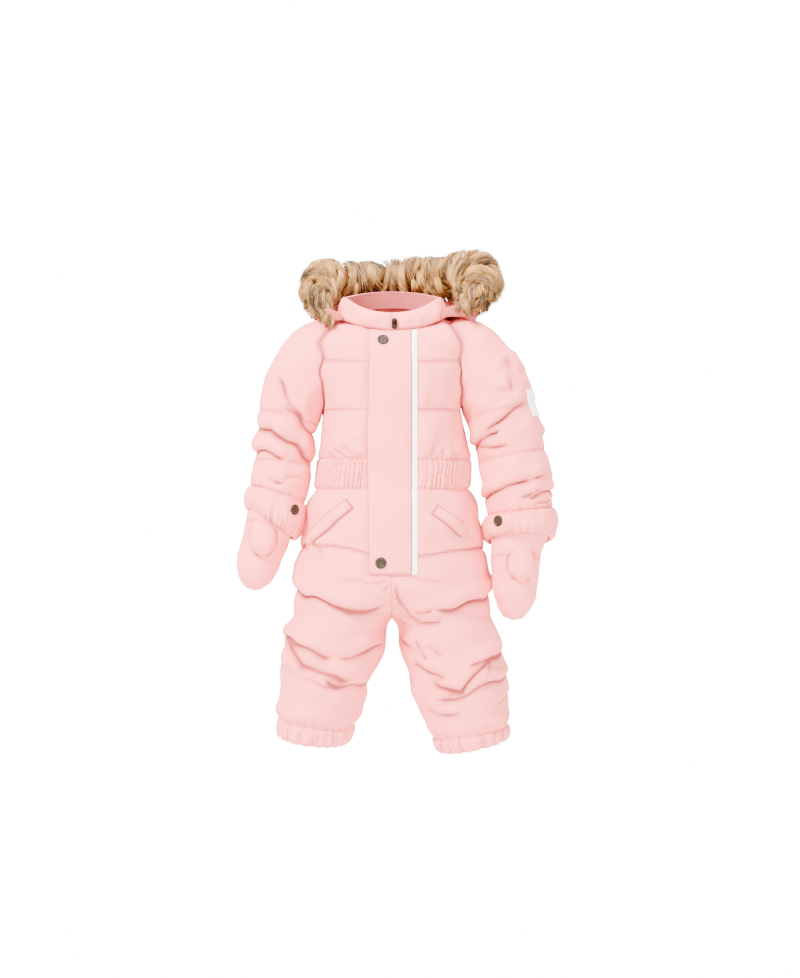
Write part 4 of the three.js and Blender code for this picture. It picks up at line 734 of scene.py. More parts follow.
def cuff_surface(side, bearing, t, lift=0.0):
    """The puffed sleeve cuff, from its seam at 0 to its gathered edge at 1."""
    along = mix(sleeve_end(side, bearing) + SEAM_GAP, cuff_end(side, bearing), t)
    base = sleeve_form[side](bearing, along)
    swell = 7.4 * np.sin(np.pi * np.clip(t, 0, 1) ** 0.8) ** 0.62
    snap_along, snap_bearing = CUFF_SNAPS[side]
    to_snap = np.hypot((bearing - math.radians(snap_bearing)) * 40, along - snap_along)
    calm = smooth(5, 14, to_snap)
    low = gathered(bearing * 42 + 1.4 * np.sin(3 * t), 8, 15 + side, 1.4) * t**3
    high = gathered(bearing * 40, 10, 18 + side, 1.4) * np.exp(-t * 8)
    soft = 0.9 * uneven(base, (16, 40), 75)
    height = swell + calm * (sizes().gather / MM * (1.5 * low + 0.6 * high) + soft)
    height = mix(swell * 0.9, height, calm)
    # Painted shade in the valleys of the cuff's gathers, away from the snap
    painted_shade = calm * np.clip(-low - 0.6 * high, 0, 1)
    return sagged(sleeve_form[side](bearing, along, height + lift), 5 * smooth(0.1, 1, t)), painted_shade


# Collar, from the neck seam at 0 to the top edge at 1
def collar_form(bearing, t, lift):
    _, _, centre, _, _, _ = torso_ring(NECK_DROP)
    c = np.cos(bearing)
    low = torso_base(bearing, np.full(np.shape(bearing), NECK_DROP))
    depth = np.where(c > 0, COLLAR_TOP["front_depth"], COLLAR_TOP["back_depth"])
    height = (COLLAR_TOP["side"] + (COLLAR_TOP["front"] - COLLAR_TOP["side"]) * np.maximum(c, 0) ** 2
              + (COLLAR_TOP["back"] - COLLAR_TOP["side"]) * np.maximum(-c, 0) ** 2)
    high = np.stack([centre + COLLAR_TOP["half"] * power(np.sin(bearing), TORSO_ROUNDNESS),
                     -depth * power(c, TORSO_ROUNDNESS), height], -1)
    outward = np.stack([np.sin(bearing), -c, np.zeros_like(c)], -1)
    points = mix(low, high, np.asarray(t, float)[..., None]) + outward * np.asarray(lift, float)[..., None]
    points[..., 2] += SEAM_GAP
    return points


def collar_surface(bearing, t, lift=0.0):
    flat = smooth(0.05, 0.32, np.abs(bearing))
    inside = np.clip(t, 0, 1)
    swell = 3.8 * np.sin(np.pi * inside) ** 0.6
    base = collar_form(bearing, t, np.zeros_like(swell))
    soft = 1.5 * uneven(base, (16, 40), 81) * np.sin(np.pi * inside)
    low = 0.8 * gathered(bearing * 66, 12, 21) * np.exp(-inside * 5)
    # The second value is painted shade low on the collar, next to the neck seam
    return collar_form(bearing, t, flat * (swell + soft + low) + lift), 0.4 * np.exp(-inside * 9)


def fur_form(bearing, along, share, lift=0.0):
    """Rings of the fur trim at a share of their full size."""
    x, y, z, wide, high = fur_section(along)
    before, after = fur_section(along - 0.05), fur_section(along + 0.05)
    direction = unit(np.stack([after[0] - before[0], after[1] - before[1], np.zeros_like(x)], -1))
    sideways = np.stack([direction[..., 1], -direction[..., 0], np.zeros_like(x)], -1)
    ends = np.sqrt(np.maximum(1 - (along / 5 - 1) ** 16, 0.12))
    up = (high * share * ends + lift) * np.cos(bearing)
    across = (wide * share * ends + lift) * np.sin(bearing)
    return np.stack([x, y, z + up], -1) + sideways * across[..., None]


def hood_surface(u, t, lift=0.0):
    """The hood as a pouch: from the neck seam, at 0, down behind the back and up to the fur, at 1."""
    along = mix(HOOD_REACH[0], HOOD_REACH[1], u)
    bearing = mix(-HOOD_FRONT, -TURN + HOOD_FRONT, u)
    back_share = np.maximum(-np.cos(bearing), 0)
    x, y, z, _, high = fur_section(along)
    outward = np.stack([np.sin(bearing), -np.cos(bearing), np.zeros_like(u)], -1)
    down = np.array([0.0, 0.0, -1.0])
    neck = collar_form(bearing, 0.12, 5.5)
    edge = np.stack([x, y, z - high + 4], -1)
    inner = neck + outward * mix(10, 22, back_share)[..., None] + down * mix(-4, 46, back_share)[..., None]
    outer = edge + outward * mix(10, 24, back_share)[..., None] + down * mix(8, 125, back_share)[..., None]
    s = np.asarray(t, float)[..., None]
    points = (1 - s)**3 * neck + 3 * (1 - s)**2 * s * inner + 3 * (1 - s) * s**2 * outer + s**3 * edge
    tangent = 3 * (1 - s)**2 * (inner - neck) + 6 * (1 - s) * s * (outer - inner) + 3 * s**2 * (edge - outer)
    normal = unit(np.stack([outward[..., 0] * tangent[..., 2], outward[..., 1] * tangent[..., 2],
                            -np.sum(tangent * outward, -1)], -1))
    return points + normal * np.asarray(lift, float)[..., None], normal


# Mesh helpers
def spaced(length, step, close=(0.4, 1.0, 1.9, 3.1)):
    """Positions from 0 to 1 along a length in millimetres, closer together near both ends."""
    count = max(2, int(round((length - 2 * close[-1]) / step)) + 1)
    middle = np.linspace(close[-1], length - close[-1], count)
    start = np.array([0.0, *close[:-1]])
    return np.concatenate([start, middle, (length - start)[::-1]]) / length


def step_mm():
    return sizes().mesh_step / MM


def to_edge(shares, length):
    """Distance in millimetres to the nearer end of a span."""
    return np.minimum(shares, 1 - shares) * length


def build_mesh(name, points, faces, uvs=None, material_index=None, painted_shade=None):
    """A mesh from points in millimetres and rows of 4 corners, where -1 marks a triangle."""
    points = np.asarray(points, float).reshape(-1, 3) * MM
    used = faces >= 0
    counts = used.sum(1)
    loops = faces[used]
    mesh = bpy.data.meshes.new(name)
    mesh.vertices.add(len(points))
    mesh.vertices.foreach_set("co", points.ravel())
    mesh.loops.add(len(loops))
    mesh.loops.foreach_set("vertex_index", loops.astype(np.int32))
    mesh.polygons.add(len(faces))
    mesh.polygons.foreach_set("loop_start", (np.cumsum(counts) - counts).astype(np.int32))
    if material_index is not None:
        mesh.polygons.foreach_set("material_index", material_index.astype(np.int32))
    mesh.update(calc_edges=True)
    if uvs is not None:
        layer = mesh.uv_layers.new(name="cloth")
        layer.data.foreach_set("uv", (uvs[used] * MM).ravel())
    if painted_shade is not None:
        # Painted shade of each point, which the cloth materials mix in as the darker colour of the folds
        mesh.attributes.new("fold_depth", "FLOAT", "POINT").data.foreach_set("value", painted_shade.ravel())
    return mesh


def volume_of(points, faces):
    a, b, c = points[faces[:, 0]], points[faces[:, 1]], points[faces[:, 2]]
    d = points[np.where(faces[:, 3] < 0, faces[:, 2], faces[:, 3])]
    return np.sum(np.cross(a, b) * c) + np.sum(np.cross(a, c) * d)


def quad_corners(rows, columns, across):
    """Corners of a grid's quads by row and column; the last column joins the first if it is crossed."""
    j, i = np.indices((rows - 1, across))
    low, high, after = j * columns, (j + 1) * columns, (i + 1) % columns
    return np.stack([low + i, low + after, high + after, high + i], -1)


def shell(name, outer, inner, painted_shade, wraps=False, keep=None, tips=None):
    """A closed cloth wall between two grids of points in millimetres, with the same rows and columns."""
    rows, columns = outer.shape[:2]
    across = columns if wraps else columns - 1
    j, i = np.indices((rows - 1, across))
    keep = np.ones((rows - 1, across), bool) if keep is None else keep
    corners = quad_corners(rows, columns, across)
    widths = np.linalg.norm(np.diff(outer, axis=1), axis=2).mean(0)
    heights = np.linalg.norm(np.diff(outer, axis=0), axis=2).mean(1)
    u = np.concatenate([[0], np.cumsum(widths)])
    if wraps:
        u = np.concatenate([u, [u[-1] + np.linalg.norm(outer[:, 0] - outer[:, -1], axis=1).mean()]])
    v = np.concatenate([[0], np.cumsum(heights)])
    uv = np.stack([np.stack([u[i], v[j]], -1), np.stack([u[i + 1], v[j]], -1),
                   np.stack([u[i + 1], v[j + 1]], -1), np.stack([u[i], v[j + 1]], -1)], -2)
    size = rows * columns
    faces = [corners[keep], corners[keep][:, ::-1] + size]
    face_uvs = [uv[keep], uv[keep][:, ::-1]]
    slots = [np.zeros(keep.sum()), np.ones(keep.sum())]
    padded_keep = np.zeros((rows + 1, across + 2), bool)
    padded_keep[1:-1, 1:-1] = keep
    if wraps:
        padded_keep[1:-1, 0] = keep[:, -1]
        padded_keep[1:-1, -1] = keep[:, 0]
    if tips is not None:
        padded_keep[-1, :] = True
    neighbours = (padded_keep[:-2, 1:-1], padded_keep[1:-1, 2:],
                  padded_keep[2:, 1:-1], padded_keep[1:-1, :-2])
    for edge, neighbour in enumerate(neighbours):
        open_edge = keep & ~neighbour
        p = corners[open_edge][:, edge]
        q = corners[open_edge][:, (edge + 1) % 4]
        p_uv = uv[open_edge][:, edge]
        q_uv = uv[open_edge][:, (edge + 1) % 4]
        faces.append(np.stack([q, p, p + size, q + size], -1))
        face_uvs.append(np.stack([q_uv, p_uv, p_uv, q_uv], -2))
        slots.append(np.zeros(len(p)))
    points = np.concatenate([outer.reshape(-1, 3), inner.reshape(-1, 3)])
    # Painted shade of each point; the inner side is darkened halfway towards the colour of the folds all
    # over, as shade inside the suit
    depth = np.concatenate([painted_shade.ravel(), np.full(painted_shade.size, 0.5)])
    if tips is not None:
        last = (rows - 1) * columns + np.arange(columns)
        after = (rows - 1) * columns + (np.arange(columns) + 1) % columns
        points = np.concatenate([points, np.array(tips, float)])
        depth = np.concatenate([depth, [0, 0.5]])
        none = np.full(columns, -1)
        outer_tip = np.full(columns, 2 * size)
        faces.append(np.stack([last, after, outer_tip, none], -1))
        faces.append(np.stack([after + size, last + size, outer_tip + 1, none], -1))
        here = np.stack([u[:columns], np.full(columns, v[-1])], -1)
        tip_uv = np.stack([here, here + [2, 0], here + [1, 6], here], -2)
        face_uvs += [tip_uv, tip_uv]
        slots += [np.zeros(columns), np.ones(columns)]
    faces = np.concatenate(faces)
    face_uvs = np.concatenate(face_uvs)
    if volume_of(points, faces) < 0:
        turned = np.where(faces[:, 3:] < 0, faces[:, [2, 1, 0, 3]], faces[:, ::-1])
        face_uvs = np.where((faces[:, 3] < 0)[:, None, None], face_uvs[:, [2, 1, 0, 3]], face_uvs[:, ::-1])
        faces = turned
    slots = np.concatenate(slots)
    used = np.unique(faces[faces >= 0])
    renumber = np.full(len(points), -1)
    renumber[used] = np.arange(len(used))
    faces = np.where(faces < 0, -1, renumber[faces])
    return build_mesh(name, points[used], faces, face_uvs, slots, depth[used])


def add_object(name, mesh, materials, body="garment", angle=70):
    """Adds a finished mesh as a piece that rides on a body."""
    piece = bpy.data.objects.new(name, mesh)
    bpy.context.collection.objects.link(piece)
    mesh.materials.clear()
    for material in materials:
        mesh.materials.append(material)
    bpy.ops.object.select_all(action="DESELECT")
    piece.select_set(True)
    bpy.context.view_layer.objects.active = piece
    bpy.ops.object.shade_smooth_by_angle(angle=math.radians(angle))
    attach(piece, body)
    return piece


def add_cloth(node, mesh, materials=None):
    """Adds a sewn piece in place of its node."""
    materials = materials or (cloth_material("shell"), cloth_material("lining"))
    piece = add_object(f"sewn_{node}", mesh, materials)
    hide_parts(node)
    return piece


def grid(us, vs):
    """Grids of two running values, rows by the second."""
    return np.meshgrid(us, vs)


# Materials
def socket_kind(is_colour):
    return "NodeSocketColor" if is_colour else "NodeSocketFloat"


def new_group(name, inputs):
    """A node group with the given inputs that puts out a colour, a roughness and a height."""
    group = bpy.data.node_groups.new(name, "ShaderNodeTree")
    for label, default in inputs.items():
        kind = socket_kind(isinstance(default, tuple))
        group.interface.new_socket(label, in_out="INPUT", socket_type=kind).default_value = default
    for label in ("Colour", "Roughness", "Height"):
        group.interface.new_socket(label, in_out="OUTPUT", socket_type=socket_kind(label == "Colour"))
    return group


class Nodes:
    """Short calls that add and link shader nodes in one tree."""

    def __init__(self, tree):
        self.tree = tree

    def add(self, kind, values=None, **settings):
        node = self.tree.nodes.new(kind)
        for key, value in settings.items():
            setattr(node, key, value)
        for socket, value in (values or {}).items():
            if isinstance(value, bpy.types.NodeSocket):
                self.tree.links.new(value, node.inputs[socket])
            else:
                node.inputs[socket].default_value = value
        return node

    def math(self, operation, a, b=0.0, clamp=False):
        return self.add("ShaderNodeMath", {0: a, 1: b}, operation=operation, use_clamp=clamp).outputs[0]

    def mix(self, factor, a, b, blend="MIX"):
        node = self.add("ShaderNodeMix", {0: factor, 6: a, 7: b}, data_type="RGBA", blend_type=blend)
        return node.outputs[2]

    def noise(self, place, scale, detail):
        node = self.add("ShaderNodeTexNoise", {"Vector": place, "Scale": scale, "Detail": detail})
        return node.outputs["Fac"]

    def ramp(self, value, stops):
        node = self.add("ShaderNodeValToRGB", {0: value})
        elements = node.color_ramp.elements
        for number, (position, shade) in enumerate(stops):
            element = elements[number] if number < 2 else elements.new(position)
            element.position = position
            element.color = (shade, shade, shade, 1)
        return node.outputs[0]


def woven_group():
    """Fine woven threads, slubs and a soft change of tone, used by every cloth."""
    name = "woven_threads"
    if name in bpy.data.node_groups:
        return bpy.data.node_groups[name]
    group = new_group(name, {"Colour": WHITE, "Fold Colour": WHITE, "Fold": 0.0, "Thread Scale": 600.0,
                             "Tone Spread": 0.1, "Base Roughness": 0.8})
    nodes = Nodes(group)
    given = nodes.add("NodeGroupInput").outputs
    place = nodes.add("ShaderNodeTexCoord").outputs
    warp, weft = (nodes.add("ShaderNodeTexWave", {
        "Vector": place["UV"], "Scale": given["Thread Scale"], "Distortion": 0.6, "Detail": 1.0,
    }, wave_type="BANDS", bands_direction=direction).outputs["Fac"] for direction in "XY")
    threads = nodes.math("ADD", warp, weft)
    tone = nodes.noise(place["Object"], 22.0, 4.0)
    slub = nodes.noise(place["Object"], 420.0, 2.0)
    spread = nodes.math("MULTIPLY", nodes.math("SUBTRACT", tone, 0.5), given["Tone Spread"])
    centred = nodes.math("SUBTRACT", slub, 0.5)
    fine = nodes.math("MULTIPLY", centred, nodes.math("MULTIPLY", given["Tone Spread"], 0.7))
    bright = nodes.math("ADD", nodes.math("ADD", spread, fine), 1.0)
    # Painted shade: mixes in the darker colour of the folds by each point's painted shade
    fold_shaded = nodes.mix(given["Fold"], given["Colour"], given["Fold Colour"])
    toned = nodes.add("ShaderNodeHueSaturation", {"Color": fold_shaded, "Value": bright}).outputs[0]
    rough = nodes.math("ADD", given["Base Roughness"], nodes.math("MULTIPLY", spread, 0.6), clamp=True)
    height = nodes.math("ADD", nodes.math("MULTIPLY", threads, 0.25), nodes.math("MULTIPLY", slub, 0.5))
    nodes.add("NodeGroupOutput", {"Colour": toned, "Roughness": rough, "Height": height})
    return group


def worn_metal_group():
    """Uneven patina with lighter rubbed spots, used by the snaps and the zip."""
    name = "worn_metal"
    if name in bpy.data.node_groups:
        return bpy.data.node_groups[name]
    group = new_group(name, {"Colour": WHITE, "Rubbed": WHITE, "Wear": 0.4})
    nodes = Nodes(group)
    given = nodes.add("NodeGroupInput").outputs
    place = nodes.add("ShaderNodeTexCoord").outputs["Object"]
    cloud = nodes.noise(place, 420.0, 5.0)
    scratch = nodes.noise(place, 1800.0, 2.0)
    rubbed = nodes.math("MULTIPLY", nodes.ramp(cloud, ((0.42, 0), (0.62, 1))), given["Wear"], clamp=True)
    colour = nodes.mix(rubbed, given["Colour"], given["Rubbed"])
    worn = nodes.math("SUBTRACT", scratch, rubbed)
    rough = nodes.math("ADD", 0.42, nodes.math("MULTIPLY", worn, 0.22), clamp=True)
    nodes.add("NodeGroupOutput", {"Colour": colour, "Roughness": rough, "Height": scratch})
    return group


def new_material(name):
    material = bpy.data.materials.new(name)
    material.use_nodes = True
    material.node_tree.nodes.clear()
    return material, Nodes(material.node_tree)


def finish_material(nodes, colour, roughness, height, distance, strength, **sockets):
    values = {"Base Color": colour, "Roughness": roughness}
    if height is not None:
        bump = nodes.add("ShaderNodeBump", {"Height": height, "Distance": distance, "Strength": strength})
        values["Normal"] = bump.outputs["Normal"]
    values.update({key.replace("_", " "): value for key, value in sockets.items()})
    shader = nodes.add("ShaderNodeBsdfPrincipled", values)
    nodes.add("ShaderNodeOutputMaterial", {"Surface": shader.outputs[0]})


def cloth_material(kind):
    name, colour, fold_shade_colour, thread_scale, roughness, sheen = CLOTHS[kind]
    if name in bpy.data.materials:
        return bpy.data.materials[name]
    colour = getattr(colours(), colour)[:]
    material, nodes = new_material(name)
    # Painted shade of each point, as stored on the mesh
    fold = nodes.add("ShaderNodeAttribute", attribute_name="fold_depth").outputs["Fac"]
    woven = nodes.add("ShaderNodeGroup", {
        "Colour": colour, "Fold Colour": getattr(colours(), fold_shade_colour)[:], "Thread Scale": thread_scale,
        "Base Roughness": roughness, "Fold": fold,
    }, node_tree=woven_group()).outputs
    finish_material(nodes, woven["Colour"], woven["Roughness"], woven["Height"], 0.0004, 0.3,
                    Sheen_Weight=sheen, Sheen_Roughness=0.5, Sheen_Tint=colour, Specular_IOR_Level=0.12)
    return material


def stripe_material():
    name = "reflective_tape"
    if name in bpy.data.materials:
        return bpy.data.materials[name]
    material, nodes = new_material(name)
    place = nodes.add("ShaderNodeTexCoord").outputs["UV"]
    cells = nodes.add("ShaderNodeTexVoronoi", {"Vector": place, "Scale": 900.0}, feature="DISTANCE_TO_EDGE")
    beads = nodes.ramp(cells.outputs["Distance"], ((0.02, 0), (0.12, 1)))
    cloud = nodes.noise(place, 60.0, 3.0)
    base = colours().stripe[:]
    darker = tuple(0.86 * value for value in base[:3]) + (1,)
    colour = nodes.mix(nodes.math("MULTIPLY", beads, 0.7), darker, base)
    rough = nodes.math("ADD", 0.28, nodes.math("MULTIPLY", cloud, 0.24))
    finish_material(nodes, colour, rough, beads, 0.0002, 0.2, Metallic=0.15, Coat_Weight=0.15)
    return material


def metal_material(name, colour, rubbed, wear):
    if name in bpy.data.materials:
        return bpy.data.materials[name]
    material, nodes = new_material(name)
    metal = nodes.add("ShaderNodeGroup", {"Colour": colour, "Rubbed": rubbed, "Wear": wear},
                      node_tree=worn_metal_group()).outputs
    finish_material(nodes, metal["Colour"], metal["Roughness"], metal["Height"], 0.0001, 0.15, Metallic=0.7,
                    Specular_IOR_Level=0.15)
    return material


def fur_material(name="fur_fibre", core=False):
    if name in bpy.data.materials:
        return bpy.data.materials[name]
    material, nodes = new_material(name)
    if core:
        place = nodes.add("ShaderNodeTexCoord").outputs["Object"]
        cloud = nodes.noise(place, 160.0, 4.0)
        colour = nodes.mix(cloud, colours().fur_streak[:], colours().fur_root[:])
        height = cloud
    else:
        colour = nodes.add("ShaderNodeAttribute", attribute_name="fur_colour").outputs["Color"]
        height = None
    finish_material(nodes, colour, 0.5, height, 0.002, 0.6, Specular_IOR_Level=0.22)
    return material


# Pieces
def distance_to(tree, points):
    """Signed distance in millimetres from points to a closed form: below 0 inside it."""
    spots = np.empty_like(points)
    normals = np.empty_like(points)
    for index, point in enumerate(points):
        spot, normal, _, _ = tree.find_nearest(Vector(point))
        spots[index] = spot
        normals[index] = normal
    gap = points - spots
    result = np.sign(np.sum(gap * normals, axis=1) + 1e-12) * np.linalg.norm(gap, axis=1)
    return result, spots, normals


def tree_of(surface_points):
    """A search tree over a grid of points that closes round, its faces turned outwards."""
    rows, columns = surface_points.shape[:2]
    quads = quad_corners(rows, columns, columns).reshape(-1, 4)
    flat = surface_points.reshape(-1, 3)
    middle = flat[quads].mean(1)
    normal = np.cross(flat[quads[:, 1]] - flat[quads[:, 0]], flat[quads[:, 3]] - flat[quads[:, 0]])
    centres = surface_points.mean(1)[quads[:, 0] // columns]
    if np.sum(np.sum(normal * (middle - centres), axis=1)) < 0:
        quads = quads[:, ::-1]
    return BVHTree.FromPolygons(flat.tolist(), quads.tolist())


def three_panels(fronts, back, gap, front_length, back_length):
    """Bearings and lengths of a piece at each side of the front and of one across the back."""
    return {
        f"{fronts}_left": (gap, QUARTER - gap, front_length),
        f"{fronts}_right": (-QUARTER + gap, -gap, front_length),
        back: (QUARTER + gap, 3 * QUARTER - gap, back_length),
    }


def outside_sleeve(side, points):
    """About how far points lie outside the sleeve's form in millimetres, below 0 inside it."""
    rows = np.arange(10, 150, 2.0)
    section = curve_through(ARMS[side])
    x, y, z, across, through = section(rows)
    direction = unit(np.stack(section(rows + 1)[:3], -1) - np.stack(section(rows - 1)[:3], -1))
    forward = unit(np.array([0.0, -1.0, 0.0]) + direction * direction[:, 1:2])
    inward = np.cross(direction, forward)
    away = (points * [side, 1, 1])[:, None] - np.stack([x, y, z], -1)[None]
    beyond = np.maximum(np.abs(np.sum(away * direction, -1)) - 2, 0)
    turned = np.hypot(np.sum(away * forward, -1) / through, np.sum(away * inward, -1) / across)
    return ((turned - 1) * (across + through) / 2 + 2 * beyond).min(1)


def coarse_torso_tree():
    bearings, drops = grid(np.linspace(0, TURN, 97)[:-1], np.linspace(NECK_DROP, WAIST_TOP, 60))
    return tree_of(torso_surface(bearings, drops)[0])


def coarse_sleeve_tree(side):
    bearings, alongs = grid(np.linspace(0, TURN, 73)[:-1], np.linspace(0, 220, 70))
    return tree_of(sleeve_surface(side, bearings, alongs)[0])


class SNOWSUIT_OT_torso(bpy.types.Operator):
    """Build the padded front and back panels with their stitched lines"""

    bl_idname = "snowsuit.torso"
    bl_label = "Torso panels"

    def execute(self, context):
        quarter = CHEST_RADIUS * QUARTER
        spans = three_panels("chest_front", "back_upper", PANEL_GAP, quarter * 0.98, 2 * quarter)
        arms = {side: coarse_sleeve_tree(side) for side in SIDES}
        cloth = sizes().cloth / MM
        for node, (start, end, length) in spans.items():
            us = spaced(length, step_mm())
            vs = spaced(WAIST_TOP - NECK_DROP, step_mm())
            u, v = grid(us, vs)
            bearing = mix(start, end, u)
            drop = mix(NECK_DROP, WAIST_TOP, v)
            edge = np.minimum(to_edge(u, length), to_edge(v, WAIST_TOP - NECK_DROP))
            outer, painted_shade = torso_surface(bearing, drop, roll(edge))
            beside = np.full(outer.shape[:2], 99.0)
            for side in SIDES:
                if node.endswith(SIDE_NAMES[-side]):
                    continue
                near = (side * outer[..., 0] > 40) & (drop < 140)
                gap, _, _ = distance_to(arms[side], outer[near])
                gap = np.abs(gap) * np.sign(outside_sleeve(side, outer[near]))
                beside[near] = np.minimum(beside[near], gap)
            outer = outer - torso_normal(bearing, drop) * (1.8 * np.exp(-((beside / 3) ** 2)))[..., None]
            inner = torso_base(bearing, drop) - torso_normal(bearing, drop) * cloth
            inside = (beside[:-1, :-1] + beside[1:, 1:] + beside[1:, :-1] + beside[:-1, 1:]) / 4
            # Painted shade along the seam where the sleeve meets the panel
            painted_shade = np.maximum(painted_shade, 0.8 * np.exp(-((beside / 3) ** 2)))
            mesh = shell(node, outer, inner, painted_shade, keep=inside > -6)
            add_cloth(node, mesh)
        return {"FINISHED"}


class SNOWSUIT_OT_waistband(bpy.types.Operator):
    """Build the waistband, gathered on its elastic"""

    bl_idname = "snowsuit.waistband"
    bl_label = "Waistband"

    def execute(self, context):
        quarter = WAIST_RADIUS * QUARTER
        spans = three_panels("waistband_front", "waistband_back", PANEL_GAP, quarter, 2 * quarter)
        height = WAIST_BOTTOM - WAIST_TOP - 2 * SEAM_GAP
        for node, (start, end, length) in spans.items():
            u, v = grid(spaced(length, 1.25), spaced(height, 2.2))
            bearing = mix(start, end, u)
            drop = WAIST_TOP + SEAM_GAP + height * v
            edge = np.minimum(to_edge(u, length), to_edge(v, height))
            outer, painted_shade = waist_surface(bearing, drop, roll(edge))
            tucked = drop + SEAM_TUCK * (np.exp((v - 1) * 20) - np.exp(-v * 20))
            inner = (torso_base(bearing, tucked)
                     - torso_normal(bearing, tucked) * (sizes().cloth / MM + SEAM_GAP))
            mesh = shell(node, outer, inner, painted_shade)
            add_cloth(node, mesh)
        return {"FINISHED"}


class SNOWSUIT_OT_trousers(bpy.types.Operator):
    """Build the four trouser panels with the hip seam and the creases of the legs"""

    bl_idname = "snowsuit.trousers"
    bl_label = "Trousers"

    def execute(self, context):
        cloth = sizes().cloth / MM
        for side in SIDES:
            top = WAIST_BOTTOM + SEAM_GAP / 2
            for place in ("front", "back"):
                us = spaced(TROUSER_WIDTH, step_mm())
                vs = spaced(LEG_SEAMS[side] - top, step_mm() * 0.88)
                u, v = grid(us, vs)
                turn = u * math.pi - QUARTER
                turn = turn if place == "front" else math.pi - turn
                end = leg_line(side, turn, LEG_SEAMS[side]) - SEAM_GAP / 2
                drop = mix(top, end, v)

                def bearings(inset):
                    _, _, front, _, _ = leg_ring[side](drop)
                    inner_end = inner_bearing(side, drop, inset)
                    outer_end = QUARTER - (SEAM_GAP / 2 / front) ** (1 / LEG_ROUNDNESS)
                    front_turn = mix(inner_end, outer_end, u)
                    return front_turn if place == "front" else math.pi - front_turn

                edge = np.minimum(to_edge(u, TROUSER_WIDTH), to_edge(v, LEG_SEAMS[side] - top))
                outer, painted_shade = trouser_surface(side, bearings(0), drop, roll(edge))
                turn = bearings(cloth)
                inner = trouser_base(side, turn, drop) - trouser_normal(side, turn, drop) * cloth
                middle = SEAM_GAP / 2 if side == RIGHT else -SEAM_TUCK / 3
                clipped = side * np.maximum(side * inner[..., 0], SEAM_GAP / 2)
                clipped = np.where(u < 0.001, side * middle, clipped)
                inner[..., 0] = np.where(drop < CROTCH_DROP - 3, clipped, inner[..., 0])
                node = f"trouser_{place}_{SIDE_NAMES[side]}"
                mesh = shell(node, outer, inner, painted_shade)
                add_cloth(node, mesh)
        return {"FINISHED"}


class SNOWSUIT_OT_leg_cuffs(bpy.types.Operator):
    """Build the gathered hems of the legs"""

    bl_idname = "snowsuit.leg_cuffs"
    bl_label = "Leg cuffs"

    def execute(self, context):
        for side in SIDES:
            u, t = grid(np.linspace(0, 1, 221)[:-1], spaced(LEG_CUFF_HEIGHT, 1.8, (0.4, 1.0, 1.9)))
            bearing = TURN * u
            top = leg_line(side, bearing, LEG_SEAMS[side]) + SEAM_GAP / 2
            hem = leg_line(side, bearing, LEG_HEMS[side])
            drop = mix(top, hem, t)
            base = trouser_base(side, bearing, drop)
            wobble = bearing * 48 + 1.2 * np.sin(drop / 6 + bearing * 5)
            folds = gathered(wobble, TURN * 48 / 20, 24 + side, 1.0)
            fine = gathered(wobble + 4, TURN * 48 / 43, 26 + side, 1.0)
            height = (2.6 * np.sin(np.pi * t) ** 0.7
                      + sizes().gather / MM * ((0.4 + 0.5 * t) * folds + 0.4 * fine) + 0.8
                      + roll(to_edge(t, LEG_CUFF_HEIGHT)) + 0.4 * uneven(base, (10, 30), 91))
            outer = base + trouser_normal(side, bearing, drop) * height[..., None]
            outer[..., 2] -= (0.7 * folds + 0.4 * fine) * t
            tucked = drop - SEAM_TUCK * np.exp(-t * 20)
            inner = (trouser_base(side, bearing, tucked)
                     - trouser_normal(side, bearing, tucked) * (sizes().cloth / MM + SEAM_GAP))
            node = f"leg_cuff_{SIDE_NAMES[side]}"
            # The last value is painted shade in the valleys of the hem's gathers
            mesh = shell(node, outer, inner, np.clip(0.1 - 0.6 * folds - 0.3 * fine, 0, 1), wraps=True)
            add_cloth(node, mesh)
        return {"FINISHED"}


def sleeve_start(side, bearings, torso):
    """Where the sleeve comes out of the torso, along the arm, for each bearing."""
    alongs = np.linspace(8, 150, 143)
    turn, along = grid(bearings, alongs)
    points, _ = sleeve_surface(side, turn, along)
    gap, _, _ = distance_to(torso, points.reshape(-1, 3))
    gap = gap.reshape(points.shape[:2])
    gap[points[..., 2] > 12] = np.maximum(gap[points[..., 2] > 12], 0.01)
    starts = np.empty(len(bearings))
    for column in range(len(bearings)):
        inside = np.flatnonzero(gap[:, column] < -0.2)
        row = inside[-1] if len(inside) else 0
        low, high = gap[row, column], gap[min(row + 1, len(alongs) - 1), column]
        share = np.clip((-0.2 - low) / (high - low + 1e-9), 0, 1) if len(inside) else 0
        starts[column] = alongs[row] + share
    smoothed = starts.copy()
    for _ in range(3):
        smoothed = (np.roll(smoothed, 1) + 2 * smoothed + np.roll(smoothed, -1)) / 4
    return smoothed


class SNOWSUIT_OT_sleeves(bpy.types.Operator):
    """Build the padded sleeves, set into the armholes"""

    bl_idname = "snowsuit.sleeves"
    bl_label = "Sleeves"

    def execute(self, context):
        torso = coarse_torso_tree()
        for side in SIDES:
            us = np.linspace(0, 1, 121)[:-1]
            start = sleeve_start(side, TURN * us, torso)
            length = SLEEVE_ENDS[side] - start.mean()
            u, v = grid(us, spaced(length, step_mm()))
            bearing = TURN * u
            turn = (bearing + math.pi) % TURN - math.pi
            along = mix(start[None, :], sleeve_end(side, bearing), v)
            outer, painted_shade = sleeve_surface(side, turn, along, roll(to_edge(v, length)))
            inner = sleeve_form[side](turn, along, -sizes().cloth / MM)
            node = f"sleeve_{SIDE_NAMES[side]}"
            # Painted shade along the armhole seam
            painted_shade = np.maximum(painted_shade, 0.8 * np.exp(-((v * length / 3) ** 2)))
            mesh = shell(node, outer, inner, painted_shade, wraps=True)
            add_cloth(node, mesh)
        return {"FINISHED"}


